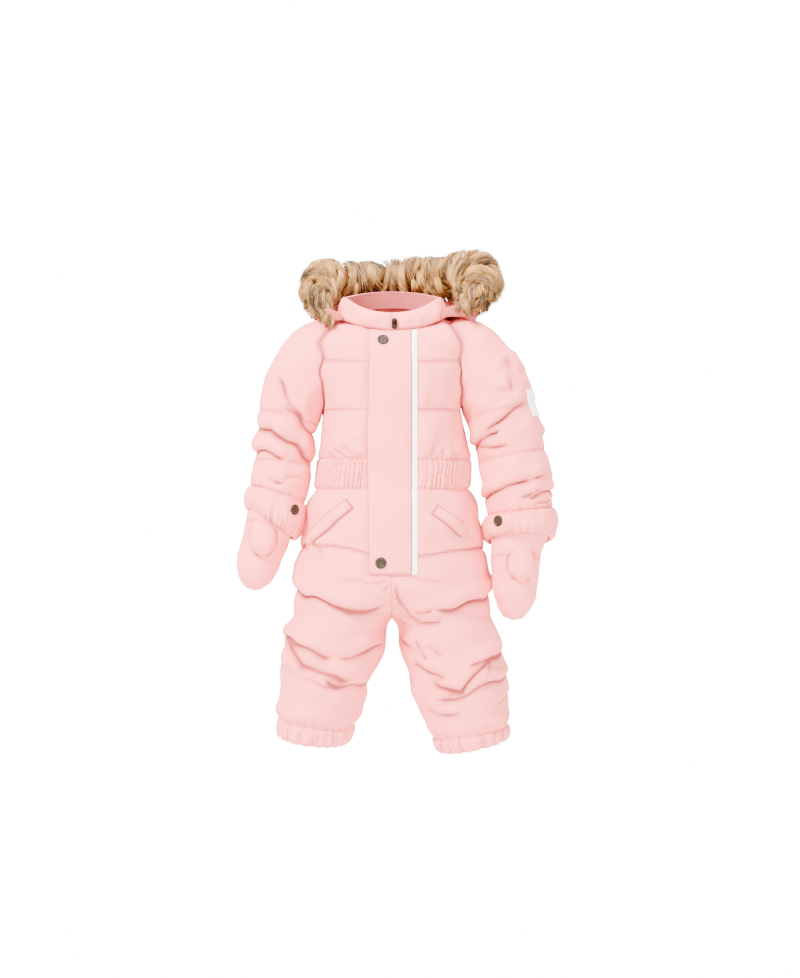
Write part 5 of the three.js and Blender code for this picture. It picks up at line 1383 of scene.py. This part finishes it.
class SNOWSUIT_OT_sleeve_cuffs(bpy.types.Operator):
    """Build the puffed sleeve cuffs, gathered at the edge"""

    bl_idname = "snowsuit.sleeve_cuffs"
    bl_label = "Sleeve cuffs"

    def execute(self, context):
        for side in SIDES:
            length = CUFF_ENDS[side] - SLEEVE_ENDS[side]
            u, t = grid(np.linspace(0, 1, 201)[:-1], spaced(length, 1.8))
            bearing = (TURN * u + math.pi) % TURN - math.pi
            outer, painted_shade = cuff_surface(side, bearing, t, roll(to_edge(t, length)))
            along = mix(sleeve_end(side, bearing) + SEAM_GAP, cuff_end(side, bearing), t)
            tucked = along - SEAM_TUCK * np.exp(-t * 20)
            inner = sleeve_form[side](bearing, tucked, -sizes().cloth / MM - SEAM_GAP)
            node = f"sleeve_cuff_{SIDE_NAMES[side]}"
            mesh = shell(node, outer, inner, painted_shade, wraps=True)
            add_cloth(node, mesh)
        return {"FINISHED"}


class SNOWSUIT_OT_mittens(bpy.types.Operator):
    """Build the mittens and their thumbs"""

    bl_idname = "snowsuit.mittens"
    bl_label = "Mittens"

    def execute(self, context):
        for side in SIDES:
            self.hand(side)
            self.thumb(side)
        return {"FINISHED"}

    def beside_thumb(self, side, points):
        """1 along the thumb, fading to 0 just above where it starts."""
        return smooth(4, -9, points[..., 2] - THUMBS[side][1][3] - 14)

    def hand(self, side):
        cloth = sizes().cloth / MM
        thumb_bearings, thumb_alongs = grid(np.linspace(0, TURN, 49)[:-1], np.linspace(-4, THUMB_END, 30))
        thumb_tree = tree_of(thumb_form[side](thumb_bearings, thumb_alongs))
        last = MITTENS[side][-1][0]
        alongs = np.concatenate([np.linspace(-15, last - 12, 44), np.linspace(last - 9.6, last, 6)])
        u, along = grid(np.linspace(0, 1, 89)[:-1], alongs)
        bearing = TURN * u
        base = mitten_form[side](bearing, along)
        seam = np.abs(along - MITTEN_SEAMS[side] + 6 * np.cos(bearing))
        pulled = gathered(bearing * 33, 10, 28 + side) * np.exp(-np.maximum(along + 2, 0) / 12)
        height = (0.5 * uneven(base, (14, 40), 95) - 0.7 * np.exp(-((seam / 1.6) ** 2))
                  + 0.6 * puckers(bearing * 33, seam, 97, 4)
                  + 0.8 * pulled - 0.8 * np.exp(-((np.sin(bearing) ** 2 - 1) * 33) ** 2 / 3))
        height = height * smooth(0, 12, last - along)
        outer = mitten_form[side](bearing, along, height)
        gap, _, _ = distance_to(thumb_tree, outer.reshape(-1, 3))
        beside = np.abs(gap.reshape(along.shape))
        low = self.beside_thumb(side, outer)
        outer = mitten_form[side](bearing, along, height - 2.2 * low * np.exp(-((beside / 2.2) ** 2)))
        inner = mitten_form[side](bearing, along, -cloth)
        # Painted shade along the mitten's seam and in the groove beside the thumb
        painted_shade = np.maximum(0.5 * np.exp(-((seam / 2) ** 2)), low * np.exp(-((beside / 3) ** 2)))
        tip = np.array(MITTEN_TIPS[side], float) * [side, 1, 1]
        node = f"mitten_{SIDE_NAMES[side]}"
        mesh = shell(node, outer, inner, painted_shade, wraps=True, tips=(tip, tip + [0, 0, cloth]))
        add_cloth(node, mesh)

    def thumb(self, side):
        last = MITTENS[side][-1][0]
        hand_bearings, hand_alongs = grid(np.linspace(0, TURN, 65)[:-1], np.linspace(-15, last, 50))
        hand_tree = tree_of(mitten_form[side](hand_bearings, hand_alongs))
        us = np.linspace(0, 1, 57)[:-1]
        probe, probe_along = grid(TURN * us, np.linspace(-6, 20, 53))
        gap, _, _ = distance_to(hand_tree, thumb_form[side](probe, probe_along).reshape(-1, 3))
        hidden = gap.reshape(probe.shape) < -0.6
        start = np.where(hidden.any(0), probe_along[hidden.shape[0] - 1 - hidden[::-1].argmax(0), 0], -6)
        u, v = grid(us, np.linspace(0, 1, 34))
        bearing = TURN * u
        along = mix(start[None, :], THUMB_END, v)
        base = thumb_form[side](bearing, along)
        height = (0.35 * uneven(base, (10, 26), 99) + 1.2) * smooth(0, 8, THUMB_END - along)
        low = self.beside_thumb(side, base)
        outer = thumb_form[side](bearing, along, height + low * 0.5 * roll(v * THUMB_END))
        inner = thumb_form[side](bearing, along, -2.0)
        tip = np.array(THUMB_TIPS[side], float) * [side, 1, 1]
        node = f"thumb_{SIDE_NAMES[side]}"
        # Painted shade where the thumb leaves the mitten
        painted_shade = low * np.exp(-((v * THUMB_END / 3) ** 2))
        mesh = shell(node, outer, inner, painted_shade, wraps=True, tips=(tip, tip + [0, 0, 2.0]))
        add_cloth(node, mesh)


class SNOWSUIT_OT_collar(bpy.types.Operator):
    """Build the standing collar in three pieces"""

    bl_idname = "snowsuit.collar"
    bl_label = "Collar"

    def execute(self, context):
        spans = three_panels("collar_front", "collar_back", COLLAR_GAP, COLLAR_FRONT, 2 * COLLAR_FRONT)
        for node, (start, end, length) in spans.items():
            u, t = grid(spaced(length, 2.2), spaced(COLLAR_HEIGHT, 2.0))
            bearing = mix(start, end, u)
            edge = np.minimum(to_edge(u, length), to_edge(t, COLLAR_HEIGHT))
            outer, painted_shade = collar_surface(bearing, t, roll(edge))
            inner = collar_form(bearing, t, -COLLAR_CLOTH)
            inner[..., 2] -= 0.6 * smooth(0.9, 1, t)
            mesh = shell(node, outer, inner, painted_shade)
            add_cloth(node, mesh)
        return {"FINISHED"}


class SNOWSUIT_OT_hood(bpy.types.Operator):
    """Build the hood, lying down behind the neck"""

    bl_idname = "snowsuit.hood"
    bl_label = "Hood"

    def execute(self, context):
        trees = [coarse_torso_tree()] + [coarse_sleeve_tree(side) for side in SIDES]
        u, t = grid(spaced(HOOD_WIDTH, 3.2), spaced(HOOD_LENGTH, 3.0))
        points, normal = hood_surface(u, t)
        soft = uneven(points, (30, 80), 103) * 1.6 + 0.7 * gathered(u * HOOD_WIDTH, 15, 33) * np.exp(-t * 9)
        points = points + normal * (soft * np.sin(np.pi * np.clip(t, 0, 1)) ** 0.5)[..., None]
        flat = points.reshape(-1, 3)
        for tree in trees:
            gap, spots, outward = distance_to(tree, flat)
            pressed = gap < 1.0
            flat[pressed] = spots[pressed] + outward[pressed] * 1.0
        outer = flat.reshape(points.shape)
        edge = to_edge(u, HOOD_WIDTH)
        corner = smooth(0.45, 1, t) * np.exp(-edge / 20)
        turn = mix(-HOOD_FRONT, -TURN + HOOD_FRONT, u)
        away = np.stack([6 * np.sin(turn), -6 * np.cos(turn), np.full(turn.shape, -9.0)], -1)
        outer = outer + away * corner[..., None]
        full = np.sin(np.pi * np.clip(t, 0, 1)) ** 0.5 * np.exp(-((edge / 26) ** 2))
        round_edge = np.sqrt(np.clip(1 - (1 - np.minimum(edge, 7) / 7) ** 2, 0.02, 1))
        outer = outer + normal * (full * 4 * (round_edge - 0.5))[..., None]
        inner = outer - normal * (HOOD_CLOTH + full * 13 * round_edge)[..., None]
        # The last value is painted shade next to the neck seam and along the hood's edges
        mesh = shell("hood_shell", outer, inner, np.maximum(0.8 * np.exp(-t * 12), 0.5 * np.exp(-edge / 8)))
        # The hood's outer cloth carries painted shade in its darker colour
        cloths = (cloth_material("hood"), cloth_material("lining"))
        add_cloth("hood_shell", mesh, cloths)
        return {"FINISHED"}


class SNOWSUIT_OT_fur(bpy.types.Operator):
    """Grow the fur trim: a core and tapered strands in locks"""

    bl_idname = "snowsuit.fur"
    bl_label = "Fur trim"

    CORE_SHARE = 0.6
    LOCKS = 170
    LOCK_SPREAD = (45, 24)
    STRAY_SHARE = 0.07
    DARK_LOCKS = 0.27
    PALE_END = (0.38, 0.25, 0.11)

    def execute(self, context):
        rng = np.random.default_rng([sizes().seed, 200])
        u, along = grid(np.linspace(0, TURN, 25)[:-1], np.linspace(0.02, 9.98, 120))
        core = fur_form(u, along, self.CORE_SHARE, 0.8 * np.sin(9 * along + 3 * u))
        self.core(core)
        for half, (start, end) in enumerate(zip(FUR_ENDS[:-1], FUR_ENDS[1:])):
            self.strands(rng, half, start, end)
        return {"FINISHED"}

    def core(self, rings):
        rows, columns = rings.shape[:2]
        faces = quad_corners(rows, columns, columns).reshape(-1, 4)
        ring = np.arange(columns)
        after = (ring + 1) % columns
        size = rows * columns
        none = np.full(columns, -1)
        first = np.stack([after, ring, np.full(columns, size), none], -1)
        last_row = (rows - 1) * columns
        last = np.stack([last_row + ring, last_row + after, np.full(columns, size + 1), none], -1)
        points = np.concatenate([rings.reshape(-1, 3), rings[0].mean(0)[None], rings[-1].mean(0)[None]])
        faces = np.concatenate([faces, first, last])
        if volume_of(points, faces) < 0:
            faces = np.where(faces[:, 3:] < 0, faces[:, [2, 1, 0, 3]], faces[:, ::-1])
        mesh = build_mesh("fur_backing", points, faces)
        piece = add_object("fur_backing", mesh, (fur_material("fur_backing", core=True),))
        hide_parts("fur_trim")

    def strands(self, rng, half, start, end):
        """Strands that leave the core and lie over the trim outwards and down, drawn into locks."""
        count = sizes().fur_strands
        locks = self.LOCKS
        along = rng.uniform(start, end, count)
        bearing = rng.uniform(-math.pi, math.pi, count)
        lock_along = rng.uniform(start - 0.1, end + 0.1, locks)
        lock_bearing = rng.uniform(-math.pi, math.pi, locks)
        far, wide = self.LOCK_SPREAD
        place = np.stack([along * far, np.cos(bearing) * wide, np.sin(bearing) * wide], -1)
        lock_place = np.stack(
            [lock_along * far, np.cos(lock_bearing) * wide, np.sin(lock_bearing) * wide], -1)
        lock = np.argmin(np.linalg.norm(place[:, None] - lock_place[None], axis=2), axis=1)
        lock_reach = rng.uniform(0.75, 1.3, locks)
        lock_drift = (rng.normal(0, 0.25, locks) + 0.75 * np.exp(-(FUR_ENDS[-1] - lock_along) / 1.2)
                      - 0.75 * np.exp(-lock_along / 1.2))
        overhang = sizes().fur_overhang / MM
        lock_lift = rng.uniform(-5, 1, locks) * overhang / 4 + overhang * 0.8

        def swept(bearings, alongs):
            """How far round the trim a strand lies: less at its ends and outer side, where it hangs."""
            ends = np.exp(-alongs / 1.2) + np.exp(-(FUR_ENDS[-1] - alongs) / 1.2)
            return (0.1 + 1.1 * smooth(-2.2, 0.1, bearings)) * (1 - 0.45 * np.clip(ends, 0, 1))

        own_end = bearing - swept(bearing, along) * lock_reach[lock] * rng.uniform(0.8, 1.12, count)
        lock_end = (lock_bearing - swept(lock_bearing, lock_along) * lock_reach)[lock]
        lock_end = own_end + (lock_end - own_end + math.pi) % TURN - math.pi
        drawn = rng.uniform(0.45, 0.9, count)
        stray = rng.uniform(size=count) < self.STRAY_SHARE
        drawn[stray] = 0
        last_bearing = mix(own_end, lock_end, drawn)
        last_along = mix(along + lock_drift[lock], (lock_along + lock_drift)[lock], drawn)
        last_along = last_along + rng.normal(0, 0.03, count)
        last_lift = lock_lift[lock] + rng.normal(0, 1.0, count) + stray * rng.uniform(0, 2.5, count)
        last_lift = last_lift + 3.5 * smooth(0.3, -1.2, last_bearing)
        hang = 9 * (np.exp(-along / 1.1) + np.exp(-(FUR_ENDS[-1] - along) / 1.1)) * rng.uniform(0.4, 1, count)
        curl = rng.normal(size=(count, 3)) * 0.8
        path = []
        for share in (0, 0.3, 0.66, 1):
            here = fur_form(mix(bearing, last_bearing, share ** 1.3), mix(along, last_along, share),
                            mix(self.CORE_SHARE * 0.94, 1, share ** 0.6), last_lift * share)
            path.append(sagged(here, hang * share**2) + curl * math.sin(math.pi * share * 0.8))
        tip = path.pop()
        side_axis = unit(np.cross(tip - path[0], rng.normal(size=(count, 3))))
        other_axis = unit(np.cross(tip - path[0], side_axis))
        rings = []
        for spot, radius in zip(path, (0.6, 0.55, 0.36)):
            for corner in range(3):
                turn = TURN * corner / 3
                rings.append(spot + radius * (side_axis * math.cos(turn) + other_axis * math.sin(turn) * 0.8))
        points = np.stack(rings + [tip], axis=1)
        base = np.arange(count)[:, None] * 10
        pattern = [(2, 1, 0, -1)]
        for ring in range(2):
            for corner in range(3):
                a, b = 3 * ring + corner, 3 * ring + (corner + 1) % 3
                pattern.append((a, b, b + 3, a + 3))
        pattern += [(6 + corner, 6 + (corner + 1) % 3, 9, -1) for corner in range(3)]
        pattern = np.array(pattern)
        faces = np.where(pattern[None] < 0, -1, pattern[None] + base[:, None]).reshape(-1, 4)
        name = ("fur_locks_right", "fur_locks_left")[half]
        mesh = build_mesh(name, points.reshape(-1, 3), faces)
        self.colour(mesh, rng, lock, count, locks)
        piece = add_object(name, mesh, (fur_material(),), angle=180)

    def colour(self, mesh, rng, lock, count, locks):
        given = colours()
        root, tip, streak = (np.array(part[:3]) for part in (given.fur_root, given.fur_tip, given.fur_streak))
        tone = rng.normal(1, 0.22, locks)[lock] * rng.normal(1, 0.1, count)
        grey = np.clip(rng.normal(0.4, 0.3, locks)[lock] + rng.normal(0, 0.2, count), 0, 1)
        dark = (rng.uniform(size=locks) < self.DARK_LOCKS)[lock] & (rng.uniform(size=count) < 0.65)
        dark = dark | (rng.uniform(size=count) < 0.1)
        shares = np.repeat([0, 0.45, 0.8, 1.0], [3, 3, 3, 1])
        warm = mix(root[None], tip[None], (0.25 + 0.5 * grey)[:, None])
        ends = mix(tip[None], np.array(self.PALE_END)[None], (0.7 * grey)[:, None])
        strand = mix(root[None, None] * 0.8, warm[:, None], np.minimum(shares * 2, 1)[None, :, None])
        strand = mix(strand, ends[:, None], smooth(0.45, 1, shares)[None, :, None])
        shadow = streak[None, None] * mix(0.9, 1.7, shares)[None, :, None]
        strand = np.where(dark[:, None, None], shadow, strand) * tone[:, None, None]
        rgba = np.concatenate([np.clip(strand, 0, 1), np.ones(strand.shape[:2] + (1,))], -1)
        layer = mesh.color_attributes.new("fur_colour", "FLOAT_COLOR", "POINT")
        layer.data.foreach_set("color", rgba.ravel())


def front_strip(node, left, right, cloth, step, materials=None):
    """A flat strip sewn down the front."""
    v_length = PLACKET_BOTTOM - PLACKET_TOP
    u, v = grid(spaced(float(np.mean(right - left(150.0))), step), spaced(v_length, 2.4))
    drop = mix(PLACKET_TOP, PLACKET_BOTTOM, v)
    x = mix(left(drop), right, u)
    edge = np.minimum(to_edge(u, np.abs(right - left(drop))), to_edge(v, v_length))
    base, _ = front_surface(x, drop)
    soft = 0.35 * uneven(base * [1, 1, 0.6], (26, 80), 111) + 0.25
    height = PLACKET_LIFT + cloth + np.clip(soft, 0, 1.2) - 0.7 * np.exp(-((edge / 0.9) ** 2))
    outer, _ = front_surface(x, drop, height)
    inner, _ = front_surface(x, drop, 0.1)
    # The last value is painted shade along the strip's edges, which the placket's cloth shows
    mesh = shell(node, outer, inner, 0.9 * np.exp(-((edge / 1.1) ** 2)))
    add_cloth(node, mesh, materials)


class SNOWSUIT_OT_placket(bpy.types.Operator):
    """Build the flat placket over the zip and the reflective stripe beside it"""

    bl_idname = "snowsuit.placket"
    bl_label = "Placket and stripe"

    def execute(self, context):
        front_strip("placket", lambda drop: along_table(PLACKET_EDGE, drop), PLACKET_SIDE, PLACKET_CLOTH, 2.4)
        front_strip("reflective_stripe", lambda drop: np.full(np.shape(drop), STRIPE_LEFT), STRIPE_RIGHT,
                    STRIPE_CLOTH, 1.4, (stripe_material(), stripe_material()))
        return {"FINISHED"}


def welt_point(side, u, v, lift):
    x0, z0, x1, z1 = WELTS[side]
    length = math.hypot(x1 - x0, z1 - z0)
    x = mix(x0, x1, u) - (z1 - z0) / length * v * WELT_WIDTH
    z = mix(z0, z1, u) + (x1 - x0) / length * v * WELT_WIDTH
    return front_surface(x, -z, lift)[0]


class SNOWSUIT_OT_welts(bpy.types.Operator):
    """Build the slanted pocket welts"""

    bl_idname = "snowsuit.welts"
    bl_label = "Pocket welts"

    def execute(self, context):
        for side in SIDES:
            x0, z0, x1, z1 = WELTS[side]
            length = math.hypot(x1 - x0, z1 - z0)
            u, v = grid(spaced(length, 2.2), spaced(WELT_WIDTH, 1.6))
            edge = np.minimum(to_edge(u, length), to_edge(v, WELT_WIDTH))
            height = 1.0 + 3.2 * (1 - np.exp(-edge / 1.1)) + 1.2 * np.sin(np.pi * v) ** 2
            outer = welt_point(side, u, v - 0.5, height)
            inner = welt_point(side, u, v - 0.5, 0.4)
            node = f"pocket_welt_{SIDE_NAMES[side]}"
            # The last value is painted shade along the welt's edges
            mesh = shell(node, outer, inner, np.exp(-((edge / 1.5) ** 2)))
            add_cloth(node, mesh, materials=(cloth_material("shell"), cloth_material("shell")))
        return {"FINISHED"}


class SNOWSUIT_OT_label(bpy.types.Operator):
    """Build the blank woven label on the left sleeve"""

    bl_idname = "snowsuit.label"
    bl_label = "Sleeve label"

    def execute(self, context):
        width, length = LABEL_SIZE
        u, v = grid(spaced(width, 1.6), spaced(length, 1.8))
        low, high = np.radians(LABEL_BEARINGS)
        bearing = mix(low, high, u)
        along = mix(LABEL_ALONG[0], LABEL_ALONG[1], v)
        edge = np.minimum(to_edge(u, width), to_edge(v, length))
        outer, _ = sleeve_surface(LEFT, bearing, along, 1.1 + 0.5 * (1 - np.exp(-edge / 0.6)))
        inner, _ = sleeve_surface(LEFT, bearing, along, 0.3)
        mesh = shell("sleeve_label", outer, inner, np.zeros(u.shape))
        add_cloth("sleeve_label", mesh, (cloth_material("label"), cloth_material("label")))
        return {"FINISHED"}


def stitch_row(line):
    """Stitches as small spindles along a dense line of points in millimetres."""
    steps = np.linalg.norm(np.diff(line, axis=0), axis=1)
    passed = np.concatenate([[0], np.cumsum(steps)])
    length = sizes().stitch / MM
    starts = np.arange(0, passed[-1] - length, length * 1.28)
    ends = starts + length
    a = np.stack([np.interp(starts, passed, line[:, k]) for k in range(3)], -1)
    b = np.stack([np.interp(ends, passed, line[:, k]) for k in range(3)], -1)
    return a, b


class SNOWSUIT_OT_stitching(bpy.types.Operator):
    """Sew the visible rows of stitches"""

    bl_idname = "snowsuit.stitching"
    bl_label = "Stitching"

    def execute(self, context):
        starts, ends = [], []
        for line in self.lines():
            a, b = stitch_row(line)
            starts.append(a)
            ends.append(b)
        a, b = np.concatenate(starts), np.concatenate(ends)
        direction = unit(b - a)
        side = unit(np.cross(direction, [0.0, 1.0, 0.3]))
        up = np.cross(side, direction)
        middle = (a + b) / 2
        wide, high = side * 0.5, up * 0.36
        corners = np.stack([a, middle + wide, middle + high, middle - wide, middle - high, b], 1)
        pattern = []
        for k in range(4):
            here, after = 1 + k, 1 + (k + 1) % 4
            pattern += [(0, after, here, -1), (5, here, after, -1)]
        pattern = np.array(pattern)
        base = np.arange(len(a))[:, None, None] * 6
        faces = np.where(pattern[None] < 0, -1, pattern[None] + base).reshape(-1, 4)
        mesh = build_mesh("seam_stitches", corners.reshape(-1, 3), faces)
        piece = add_object("seam_stitches", mesh, (cloth_material("thread"),), angle=180)
        return {"FINISHED"}

    def lines(self):
        """Rows of stitches as dense lines on the finished cloth."""
        lines = []
        dense = np.linspace(0, 1, 400)
        whole = np.ones_like(dense)
        cover = PLACKET_LIFT + PLACKET_CLOTH + 0.35
        for x in (20.6, 24.2):
            lines.append(front_surface(x, mix(PLACKET_TOP + 1, PLACKET_BOTTOM - 3, dense), cover)[0])
        lines.append(front_surface(mix(-27, 24, dense), PLACKET_BOTTOM - 3.2, cover)[0])
        for drop in QUILT_DROPS[2:4]:
            for start, end in ((-1.25, -0.36), (0.4, 1.25), (1.75, 4.53)):
                lines.append(torso_surface(mix(start, end, dense), drop * whole, 0.15)[0])
        for side in SIDES:
            x = mix(36 if side == LEFT else -34, side * 104, dense)
            lines.append(front_surface(x, hip_seam_drop(x, whole) + 3.2, 0.15)[0])
            for v in (-0.38, 0.38):
                lines.append(welt_point(side, mix(0.03, 0.97, dense), v, 4.7))
            for u in (0.04, 0.96):
                lines.append(welt_point(side, u, np.linspace(-0.38, 0.38, 60), 4.4))
            bearing = (mix(0, TURN, dense) + math.pi) % TURN - math.pi
            order = np.argsort(bearing)
            lines.append(cuff_surface(side, bearing[order], 0.06 * whole, 0.15)[0])
        low, high = np.radians(LABEL_BEARINGS)
        bearing = np.linspace(low + 0.03, high - 0.03, 50)
        for along in (LABEL_ALONG[0] + 1.5, LABEL_ALONG[1] - 1.5):
            lines.append(sleeve_surface(LEFT, bearing, np.full(50, along), 1.7)[0])
        return lines


def node_points(node):
    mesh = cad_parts[node].data
    points = np.empty(3 * len(mesh.vertices))
    mesh.vertices.foreach_get("co", points)
    return points.reshape(-1, 3)


def round_edges(piece, width):
    """Rounds the sharp edges of the active piece."""
    bevel = piece.modifiers.new("edges", "BEVEL")
    bevel.width = width
    bevel.segments = 2
    bevel.limit_method = "ANGLE"
    bpy.ops.object.modifier_apply(modifier=bevel.name)


class SNOWSUIT_OT_snaps(bpy.types.Operator):
    """Model one snap cap and copy it to the four places"""

    bl_idname = "snowsuit.snaps"
    bl_label = "Snaps"

    RADIUS = 0.0075
    HEIGHT = 0.0009
    RUBBED = (0.065, 0.052, 0.034, 1)
    # Insets and rises from the flange over the ring into the dish
    PROFILE = ((0.0006, 0.0), (0.0003, 0.0007), (0.0006, 0.0006), (0.0006, 0.0), (0.0006, -0.0005),
               (0.0009, -0.0001), (0.0014, 0.0001), (0.0012, 0.0001))

    def execute(self, context):
        cap = self.cap()
        brass = metal_material("old_brass", colours().snap[:], self.RUBBED, 0.5)
        for node in ("snap_top", "snap_bottom", "snap_cuff_right", "snap_cuff_left"):
            points = node_points(node)
            centre = points.mean(0)
            _, _, axes = np.linalg.svd(points - centre, full_matrices=False)
            normal = axes[2] if axes[2][1] < 0 else -axes[2]
            seat = centre + normal * ((points - centre) @ normal).min()
            mesh = cap.copy()
            turn = Vector((0, 0, 1)).rotation_difference(Vector(normal)).to_matrix().to_4x4()
            mesh.transform(Matrix.Translation(Vector(seat)) @ turn)
            piece = add_object(f"cap_{node}", mesh, (brass,), angle=38)
            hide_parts(node)
        return {"FINISHED"}

    def cap(self):
        """The cap: a flange, a rounded ring and a shallow dish, shaped from a disc."""
        bpy.ops.object.select_all(action="DESELECT")
        bpy.ops.mesh.primitive_cylinder_add(vertices=48, radius=self.RADIUS, depth=self.HEIGHT,
                                            location=(0, 0, self.HEIGHT / 2))
        draft = bpy.context.object
        bpy.ops.object.mode_set(mode="EDIT")
        bpy.ops.mesh.select_mode(type="FACE")
        for inset, rise in self.PROFILE:
            self.select_top(draft)
            bpy.ops.mesh.inset(thickness=inset)
            bpy.ops.transform.translate(value=(0, 0, rise))
        bpy.ops.object.mode_set(mode="OBJECT")
        round_edges(draft, 0.00015)
        bpy.ops.object.transform_apply(location=True, rotation=True, scale=True)
        mesh = draft.data.copy()
        bpy.data.objects.remove(draft)
        return mesh

    def select_top(self, draft):
        shape = bmesh.from_edit_mesh(draft.data)
        for face in shape.faces:
            face.select_set(False)
        flat = [face for face in shape.faces if face.normal.z > 0.99 and len(face.verts) > 4]
        top = min(flat, key=lambda face: face.calc_area())
        top.select_set(True)
        shape.faces.active = top
        bmesh.update_edit_mesh(draft.data)


class SNOWSUIT_OT_zip(bpy.types.Operator):
    """Finish the zip slider and its hinged pull tab with rounded edges"""

    bl_idname = "snowsuit.zip"
    bl_label = "Zip slider"

    RUBBED = (0.06, 0.034, 0.024, 1)

    def execute(self, context):
        metal = metal_material("dark_zip_metal", colours().zip[:], self.RUBBED, 0.45)
        for node, body in (("zip_slider", "garment"), ("zip_pull_tab", "zip_pull")):
            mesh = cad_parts[node].data.copy()
            shape = bmesh.new()
            shape.from_mesh(mesh)
            bmesh.ops.remove_doubles(shape, verts=shape.verts, dist=1e-6)
            bmesh.ops.dissolve_limit(shape, angle_limit=math.radians(2), verts=shape.verts, edges=shape.edges)
            shape.to_mesh(mesh)
            shape.free()
            piece = add_object(f"dark_{node}", mesh, (metal,), body, angle=35)
            round_edges(piece, 0.0003)
            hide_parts(node)
        return {"FINISHED"}


def facing(place, target):
    """The turn that points a lamp or camera from a place to a target."""
    return (Vector(target) - Vector(place)).to_track_quat("-Z", "Y").to_euler()


class SNOWSUIT_OT_studio(bpy.types.Operator):
    """Set up the pale floor, the soft lights and the camera"""

    bl_idname = "snowsuit.studio"
    bl_label = "Studio"

    FLOOR = -0.7
    LIGHT = 2.2
    BACKDROP = 20.0
    FLOOR_GLOW = 15.0
    DISTANCE = 6.0
    VIEW_HEIGHT = 1.291
    SENSOR = 24
    CAMERA = (0.0106, -DISTANCE, -0.2)
    TARGET = (0.0106, 0, -0.216)
    LAMP_TARGET = (0, 0, -0.25)
    # Lamps: name, place, size, power in watts
    LAMPS = (
        ("key_light", (-1.6, -2.1, 2.4), 0.8, 820),
        ("fill_light", (2.4, -2.0, 0.4), 2.2, 130),
        ("top_light", (0.2, 0.6, 2.4), 1.6, 200),
    )

    def execute(self, context):
        material, nodes = new_material("studio_paper")
        place = nodes.add("ShaderNodeTexCoord").outputs["Object"]
        grain = nodes.noise(place, 6.0, 2.0)
        base = colours().floor[:]
        shade = tuple(0.985 * value for value in base[:3]) + (1,)
        colour = nodes.mix(grain, shade, base)
        seen = nodes.add("ShaderNodeLightPath").outputs["Is Camera Ray"]
        glow = nodes.math("MULTIPLY", seen, self.FLOOR_GLOW)
        finish_material(nodes, colour, 0.9, grain, 0.001, 0.02, Emission_Color=WHITE, Emission_Strength=glow)
        bpy.ops.object.select_all(action="DESELECT")
        bpy.ops.mesh.primitive_plane_add(size=40, location=(0, 0, self.FLOOR))
        floor = bpy.context.object
        floor.name = "studio_floor"
        floor.data.materials.append(material)
        bpy.ops.object.transform_apply(location=True)

        world = bpy.data.worlds.new("studio_light")
        world.use_nodes = True
        background = world.node_tree.nodes["Background"]
        background.inputs["Color"].default_value = WHITE
        sky = Nodes(world.node_tree)
        seen = sky.add("ShaderNodeLightPath").outputs["Is Camera Ray"]
        strength = sky.math("ADD", self.LIGHT, sky.math("MULTIPLY", seen, self.BACKDROP - self.LIGHT))
        sky.tree.links.new(strength, background.inputs["Strength"])
        context.scene.world = world
        for lamp in self.LAMPS:
            self.add_lamp(*lamp)

        camera_data = bpy.data.cameras.new("product_camera")
        camera_data.sensor_fit = "VERTICAL"
        camera_data.sensor_height = self.SENSOR
        camera_data.lens = self.SENSOR * self.DISTANCE / self.VIEW_HEIGHT
        camera = bpy.data.objects.new("product_camera", camera_data)
        context.collection.objects.link(camera)
        camera.location = self.CAMERA
        camera.rotation_euler = facing(self.CAMERA, self.TARGET)
        context.scene.camera = camera
        return {"FINISHED"}

    def add_lamp(self, name, place, size, power_watts):
        data = bpy.data.lights.new(name, "AREA")
        data.shape = "DISK"
        data.size = size
        data.energy = power_watts
        lamp = bpy.data.objects.new(name, data)
        bpy.context.collection.objects.link(lamp)
        lamp.location = place
        lamp.rotation_euler = facing(place, self.LAMP_TARGET)


class SNOWSUIT_PT_panel(bpy.types.Panel):
    """Sizes, colours and steps of the snowsuit"""

    bl_label = "Baby snowsuit"
    bl_idname = "SNOWSUIT_PT_panel"
    bl_space_type = "VIEW_3D"
    bl_region_type = "UI"
    bl_category = "Snowsuit"

    def draw(self, context):
        for group in (context.scene.snowsuit_sizes, context.scene.snowsuit_colours):
            box = self.layout.box()
            for name in group.bl_rna.properties.keys():
                if name not in ("rna_type", "name"):
                    box.prop(group, name)
        for operator in STEPS:
            self.layout.operator(operator.bl_idname)


STEPS = (
    SNOWSUIT_OT_studio, SNOWSUIT_OT_torso, SNOWSUIT_OT_waistband, SNOWSUIT_OT_trousers, SNOWSUIT_OT_leg_cuffs,
    SNOWSUIT_OT_sleeves, SNOWSUIT_OT_sleeve_cuffs, SNOWSUIT_OT_mittens, SNOWSUIT_OT_collar, SNOWSUIT_OT_hood,
    SNOWSUIT_OT_fur, SNOWSUIT_OT_placket, SNOWSUIT_OT_welts, SNOWSUIT_OT_label, SNOWSUIT_OT_stitching,
    SNOWSUIT_OT_snaps, SNOWSUIT_OT_zip,
)
CLASSES = (SnowsuitSizes, SnowsuitColours, *STEPS, SNOWSUIT_PT_panel)


def register():
    for part in CLASSES:
        bpy.utils.register_class(part)
    bpy.types.Scene.snowsuit_sizes = bpy.props.PointerProperty(type=SnowsuitSizes)
    bpy.types.Scene.snowsuit_colours = bpy.props.PointerProperty(type=SnowsuitColours)


def unregister():
    del bpy.types.Scene.snowsuit_sizes
    del bpy.types.Scene.snowsuit_colours
    for part in reversed(CLASSES):
        bpy.utils.unregister_class(part)


def main():
    register()
    for step in STEPS:
        group, name = step.bl_idname.split(".")
        if "FINISHED" not in getattr(getattr(bpy.ops, group), name)():
            raise RuntimeError(f"{step.bl_label} didn't finish")


if __name__ == "__main__":
    main()
